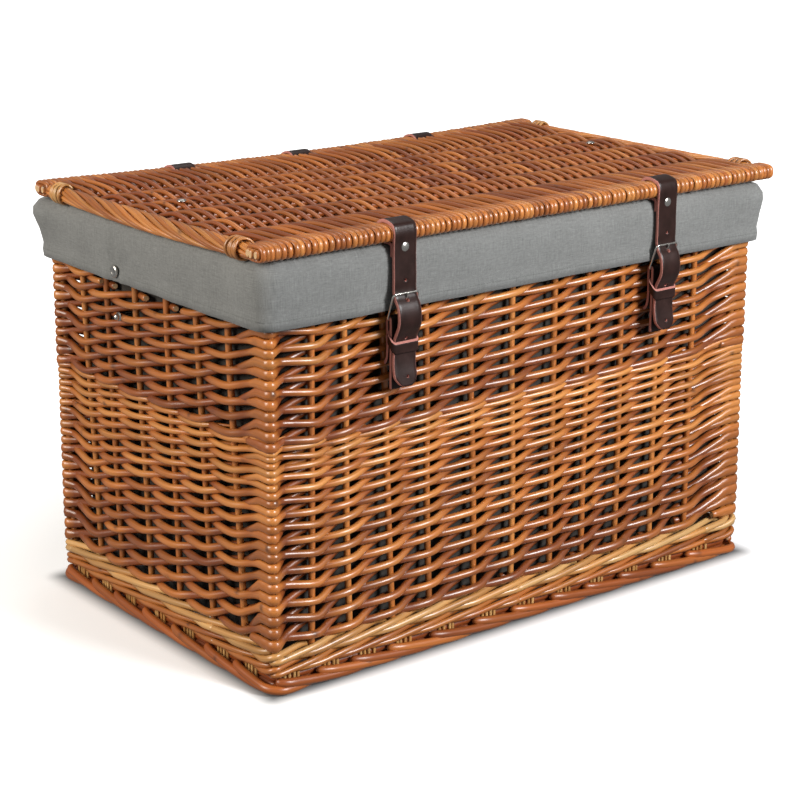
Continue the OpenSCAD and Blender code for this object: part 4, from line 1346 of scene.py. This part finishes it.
def chape(name, side):
    """The short strap that holds the buckle, and the keeper for the lid strap's tail. Its rivet comes
    from the frame.
    """
    x = side * STRAP_X
    reach = 2.6 * MM
    path = [(x, HEEL_Y - reach + 0.4 * MM, CHAPE_TAIL_Z),
            (x, HEEL_Y - reach + 0.2 * MM, CHAPE_TAIL_Z + 25 * MM),
            (x, HEEL_Y - reach, HEEL_Z - 12 * MM), (x, HEEL_Y - reach, HEEL_Z - 2 * MM)]
    path += [(x, HEEL_Y - reach * math.cos(a), HEEL_Z + reach * math.sin(a))
             for a in np.radians([20, 60, 90, 120, 160])]
    path += [(x, HEEL_Y + reach, HEEL_Z - 3 * MM), (x, HEEL_Y + reach, HEEL_Z - 30 * MM),
             (x, HEEL_Y + reach + 1 * MM, CHAPE_BEND_Z),
             (x, HEEL_Y + reach + 4.5 * MM, CHAPE_IN_Z + 0.3 * MM), (x, -HY + 1 * MM, CHAPE_IN_Z)]
    piece = strap("buckle_strap_leather_" + name, path, STRAP_W, thick=CHAPE_THICK)
    slot = box_mesh((x - 2.2 * MM, HEEL_Y - 8 * MM, HEEL_Z - 6 * MM),
                    (x + 2.2 * MM, HEEL_Y + 1 * MM, HEEL_Z + 9 * MM))
    cut_away(piece, [slot])
    ride(piece, "root", "leather", "buckle_strap_" + name)
    lo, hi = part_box("keeper_" + name)
    keeper_z = (lo.z + hi.z) / 2 - 1 * MM
    w, y0, y1 = STRAP_W / 2 + 1.6 * MM, BAR_Y + 0.1 * MM, HEEL_Y - 0.2 * MM
    outline = []
    corner = 2.6 * MM
    for cx, cy, a0 in ((w, y1, 0), (-w, y1, 90), (-w, y0, 180), (w, y0, 270)):
        for a in np.radians(np.linspace(a0, a0 + 90, 6)):
            sx, sy = np.sign(cx), 1 if cy == y1 else -1
            outline.append((cx - sx * corner + corner * math.cos(a),
                            cy - sy * corner + corner * math.sin(a)))
    ride(band("keeper_leather_" + name, outline, x, keeper_z, hi.z - lo.z, 1.9 * MM), "root", "leather",
         "keeper_" + name)


def band(name, outline, x, z, height, thick):
    """A closed band of leather round an outline in the XY plane, higher at its back."""
    p = np.array(outline)
    out = unit(np.stack([np.roll(p, -1, 0)[:, 1] - np.roll(p, 1, 0)[:, 1],
                         -(np.roll(p, -1, 0)[:, 0] - np.roll(p, 1, 0)[:, 0])], -1))
    tilt = 1.0
    section = [(-1, -1), (-1, -0.8), (-1, 0.8), (-1, 1), (1, 1), (1, 0.8), (1, -0.8), (1, -1)]
    rings = []
    middle_y = p[:, 1].mean()
    for h, v in section:
        xy = p + out * h * thick / 2
        rise = (xy[:, 1] - middle_y) * tilt
        rings.append(np.stack([x + xy[:, 0], xy[:, 1], z + v * height / 2 + rise], -1))
    verts = np.stack(rings, 1)
    count, ring = len(p), len(section)
    faces, kind = [], []
    for i in range(count):
        m = (i + 1) % count
        for j in range(ring):
            k = (j + 1) % ring
            faces.append((i * ring + j, m * ring + j, m * ring + k, i * ring + k))
            kind.append(1 if j in (3, 7) else 0)
    obj = make_object(name, verts.reshape(-1, 3), faces, [HIDE, RAW], kind,
                      flat=[k == 1 for k in kind])
    along = distances(p)
    hide = np.stack([np.repeat(along[:, None], ring, 1),
                     np.broadcast_to([v * height / 2 for _, v in section], (count, ring)),
                     np.broadcast_to([h * thick / 2 for h, _ in section], (count, ring))], -1)
    vector_attribute(obj, "hide", hide.reshape(-1, 3))
    face_outwards(obj)
    return obj


def hinges():
    """Leather loops round the back rail. Each tail goes through a slit in the liner to a rivet."""
    crease_y, crease_z = frame_axis("lid_hinge")
    for name, x in zip(HINGE_NAMES, HINGE_XS):
        lo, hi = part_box("hinge_" + name)
        sag = float(lid_sag(np.array(x), np.array(RAIL_BACK_Y)))
        back, front = LID_BACK[1].y + 1.6 * MM, LID_BACK[0].y - 1.6 * MM
        top = LID_BACK[1].z + 0.9 * MM + sag
        low = crease_z
        tail_y = hi.y - LEATHER / 2
        path = [(x, crease_y - 2 * MM, low), (x, front + 5 * MM, low),
                (x, front, low + 4.5 * MM), (x, front, top - 4 * MM),
                (x, front + 4 * MM, top), (x, back - 5 * MM, top),
                (x, back - 0.8 * MM, top - 2.5 * MM), (x, back, top - 7 * MM),
                (x, back - 0.2 * MM, low + 6 * MM), (x, back + 0.8 * MM, low + 1.5 * MM),
                (x, (back + tail_y) / 2 + 1 * MM, low - 1.5 * MM), (x, tail_y, low - 5 * MM),
                (x, tail_y, low - 20 * MM), (x, tail_y, lo.z)]
        piece = strap("hinge_leather_" + name, path, STRAP_W)
        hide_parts("hinge_" + name)
        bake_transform(piece)
    rivet_z = sum(v.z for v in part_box("hinge_rivets")) / 2
    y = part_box("hinge_rivets")[0].y
    outline = [(0, 2 * MM), (-1.2 * MM, 4.4 * MM), (-1.8 * MM, 4.2 * MM), (-2.2 * MM, 2 * MM)]
    heads = [turned("head", outline, (x, y, rivet_z), (0, 1, 0), NICKEL) for x in HINGE_XS]
    ride(join("hinge_rivet_heads", heads), "root", "nickel", "hinge_rivets")


def frame_axis(joint):
    row = next(j for j in frame["joints"] if j["name"] == joint)
    return row["pos_m"][1], row["pos_m"][2]


def stays():
    """Folding lid stays: a tab under the lid and two strips, riveted together."""
    for name in ("left", "right"):
        for half in ("upper", "lower"):
            refine_leather(f"stay_{half}_{name}", f"stay_{half}_leather_{name}", f"{half}_{name}")
        refine_leather("stay_tab_" + name, "stay_tab_leather_" + name, "lid")


def refine_leather(node, name, body):
    """The CAD piece with soft edges and a hide's coordinates, so that the leather shows."""
    source = frame["nodes"][node]
    obj = bpy.data.objects.new(name, source.data.copy())
    bpy.context.scene.collection.objects.link(obj)
    obj.data.materials.clear()
    obj.data.materials.append(HIDE)
    obj.data.materials.append(RAW)
    bm = bmesh.new()
    bm.from_mesh(obj.data)
    bmesh.ops.remove_doubles(bm, verts=bm.verts, dist=0.01 * MM)
    bmesh.ops.dissolve_limit(bm, angle_limit=0.01, verts=bm.verts, edges=bm.edges)
    sharp = [e for e in bm.edges if len(e.link_faces) == 2 and e.calc_face_angle(0) > 0.6]
    bmesh.ops.bevel(bm, geom=sharp, offset=0.35 * MM, segments=2, affect="EDGES", profile=0.5)
    bmesh.ops.triangulate(bm, faces=[f for f in bm.faces if len(f.verts) > 4])
    tab = node.startswith("stay_tab")
    for f in bm.faces:
        f.smooth = True
        thin = abs(f.normal.x) if not tab else max(abs(f.normal.x), abs(f.normal.z))
        f.material_index = 0 if thin > 0.7 else 1
    bm.to_mesh(obj.data)
    bm.free()
    co = np.array([v.co for v in obj.data.vertices])
    middle = (co.min(0) + co.max(0)) / 2
    vector_attribute(obj, "hide", (co - middle)[:, [2, 1, 0]] * np.array([1, 0.25, 1]))
    ride(obj, body, "leather", node)


STAY_RIVET_X = 258 * MM


def studs_and_rivets():
    for name, side in (("left", -1), ("right", 1)):
        lo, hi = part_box("liner_stud_" + name)
        place = ((hi.x if side > 0 else lo.x) - side * 1.9 * MM,
                 (lo.y + hi.y) / 2, (lo.z + hi.z) / 2)
        outline = [(-2.5 * MM, 2 * MM), (-0.4 * MM, 2 * MM), (-0.4 * MM, 5.9 * MM),
                   (0.3 * MM, 6.2 * MM), (1.2 * MM, 5.9 * MM), (1.9 * MM, 4.9 * MM), (2.0 * MM, 3.9 * MM),
                   (1.4 * MM, 3.2 * MM), (1.3 * MM, 0.01 * MM)]
        stud = turned("liner_press_stud_" + name, outline, place, (side, 0, 0), NICKEL, 32)
        ride(stud, "root", "nickel", "liner_stud_" + name)
    lo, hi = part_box("stay_wall_rivets")
    y, z = (lo.y + hi.y) / 2, (lo.z + hi.z) / 2
    parts = []
    for side in (-1, 1):
        ball = [(-20 * MM, 1.9 * MM), (0, 1.9 * MM), (0.2 * MM, 4.3 * MM), (1.6 * MM, 4.5 * MM)]
        ball += [(3.2 * MM + 3.1 * MM * math.sin(a), 3.1 * MM * math.cos(a) + 0.01 * MM)
                 for a in np.linspace(-0.5, 1.5, 8)]
        parts.append(turned("rivet", ball, (side * (HX - 0.5 * MM), y, z), (side, 0, 0), NICKEL))
    ride(join("stay_wall_rivet_heads", parts), "root", "nickel", "stay_wall_rivets")
    lo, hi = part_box("stay_lid_rivets")
    parts = []
    for side in (-1, 1):
        x = side * STAY_RIVET_X
        y = (lo.y + hi.y) / 2
        for height, place, way in (
                (2 * MM, (x, y, hi.z - 1.6 * MM), (0, 0, 1)),
                (1.6 * MM, (x, y, LID_LO.z - 2.6 * MM), (0, 0, -1)),
                (1.6 * MM, (side * (HX - 26 * MM), y, LID_LO.z - 10 * MM), (-side, 0, 0))):
            parts.append(turned("rivet", dome(4.6 * MM, height), place, way, NICKEL))
    ride(join("stay_lid_rivet_heads", parts), "lid", "nickel", "stay_lid_rivets")
    rivets = frame["nodes"]["buckle_strap_rivets"].data.materials
    rivets.clear()
    rivets.append(NICKEL)


# ---------------------------------------------------------------- stage, light and camera
FOCAL_LENGTH = 92.4
CAMERA_PLACE = (-1.2527, -1.5891, 0.7882)
CAMERA_DOWN, CAMERA_TURN = 16.74, -38.07  # degrees below the horizon and round from +Y


def stage():
    """A white sweep, a large soft light in front, warmer ones at the left and above."""
    bm = bmesh.new()
    profile = [(-5, 0), (1.6, 0), (2.1, 0.07), (2.5, 0.27), (2.78, 0.62), (2.9, 1.1), (2.9, 4)]
    rows = [[bm.verts.new((x, y, z)) for x in (-7, 9)] for y, z in profile]
    for (a, b), (c, d) in zip(rows[:-1], rows[1:]):
        bm.faces.new((a, b, d, c)).smooth = True
    bmesh.ops.rotate(bm, verts=bm.verts, matrix=Matrix.Rotation(math.radians(-38), 3, "Z"))
    floor = from_bmesh("studio_sweep", bm)
    floor.data.materials.append(backdrop())
    floor.visible_diffuse = False
    floor.visible_glossy = False
    world = bpy.data.worlds.new("studio")
    bpy.context.scene.world = world
    world.use_nodes = True
    world.node_tree.nodes["Background"].inputs[0].default_value = (1, 1, 1, 1)
    world.node_tree.nodes["Background"].inputs[1].default_value = 0.22
    area("front_light", -76, 27, 2.2, 0.7, 60, (0.98, 0.99, 1.0))
    area("left_light", 172, 27, 3.0, 1.8, 86, (1.0, 0.95, 0.87))
    area("top_light", 60, 62, 3.0, 1.8, 12, (1.0, 0.99, 0.97))
    camera = bpy.data.objects.new("camera", bpy.data.cameras.new("camera"))
    camera.data.lens = FOCAL_LENGTH
    camera.data.sensor_width = 36
    camera.location = CAMERA_PLACE
    camera.rotation_euler = (math.radians(90 - CAMERA_DOWN), 0, math.radians(CAMERA_TURN))
    bpy.context.scene.collection.objects.link(camera)
    bpy.context.scene.camera = camera
    bpy.context.scene.view_settings.view_transform = "Standard"


def area(name, azimuth, height, distance, size, power, colour):
    """A round area light at an azimuth and height in degrees, turned to the basket."""
    light = bpy.data.lights.new(name, "AREA")
    light.shape = "DISK"
    light.size = size
    light.energy = power
    light.color = colour
    obj = bpy.data.objects.new(name, light)
    a, h = math.radians(azimuth), math.radians(height)
    way = Vector((math.cos(a) * math.cos(h), math.sin(a) * math.cos(h), math.sin(h)))
    obj.location = way * distance + Vector((0, 0, 0.2))
    obj.rotation_euler = way.to_track_quat("Z", "Y").to_euler()
    bpy.context.scene.collection.objects.link(obj)


stage()
siding()
uprights()
wale("pale_wale_rods", "pale_wale", "pale_willow", PALE_WILLOW, 35.5 * MM, 3.4 * MM, 0.6)
wale("brown_wale_rods", "brown_wale", "dark_willow", WILLOW, 22.5 * MM, 2.9 * MM, 0.45)
foot()
rim()
base()
lid_rods()
lid_ends()
liner()
front_straps()
hinges()
stays()
studs_and_rivets()
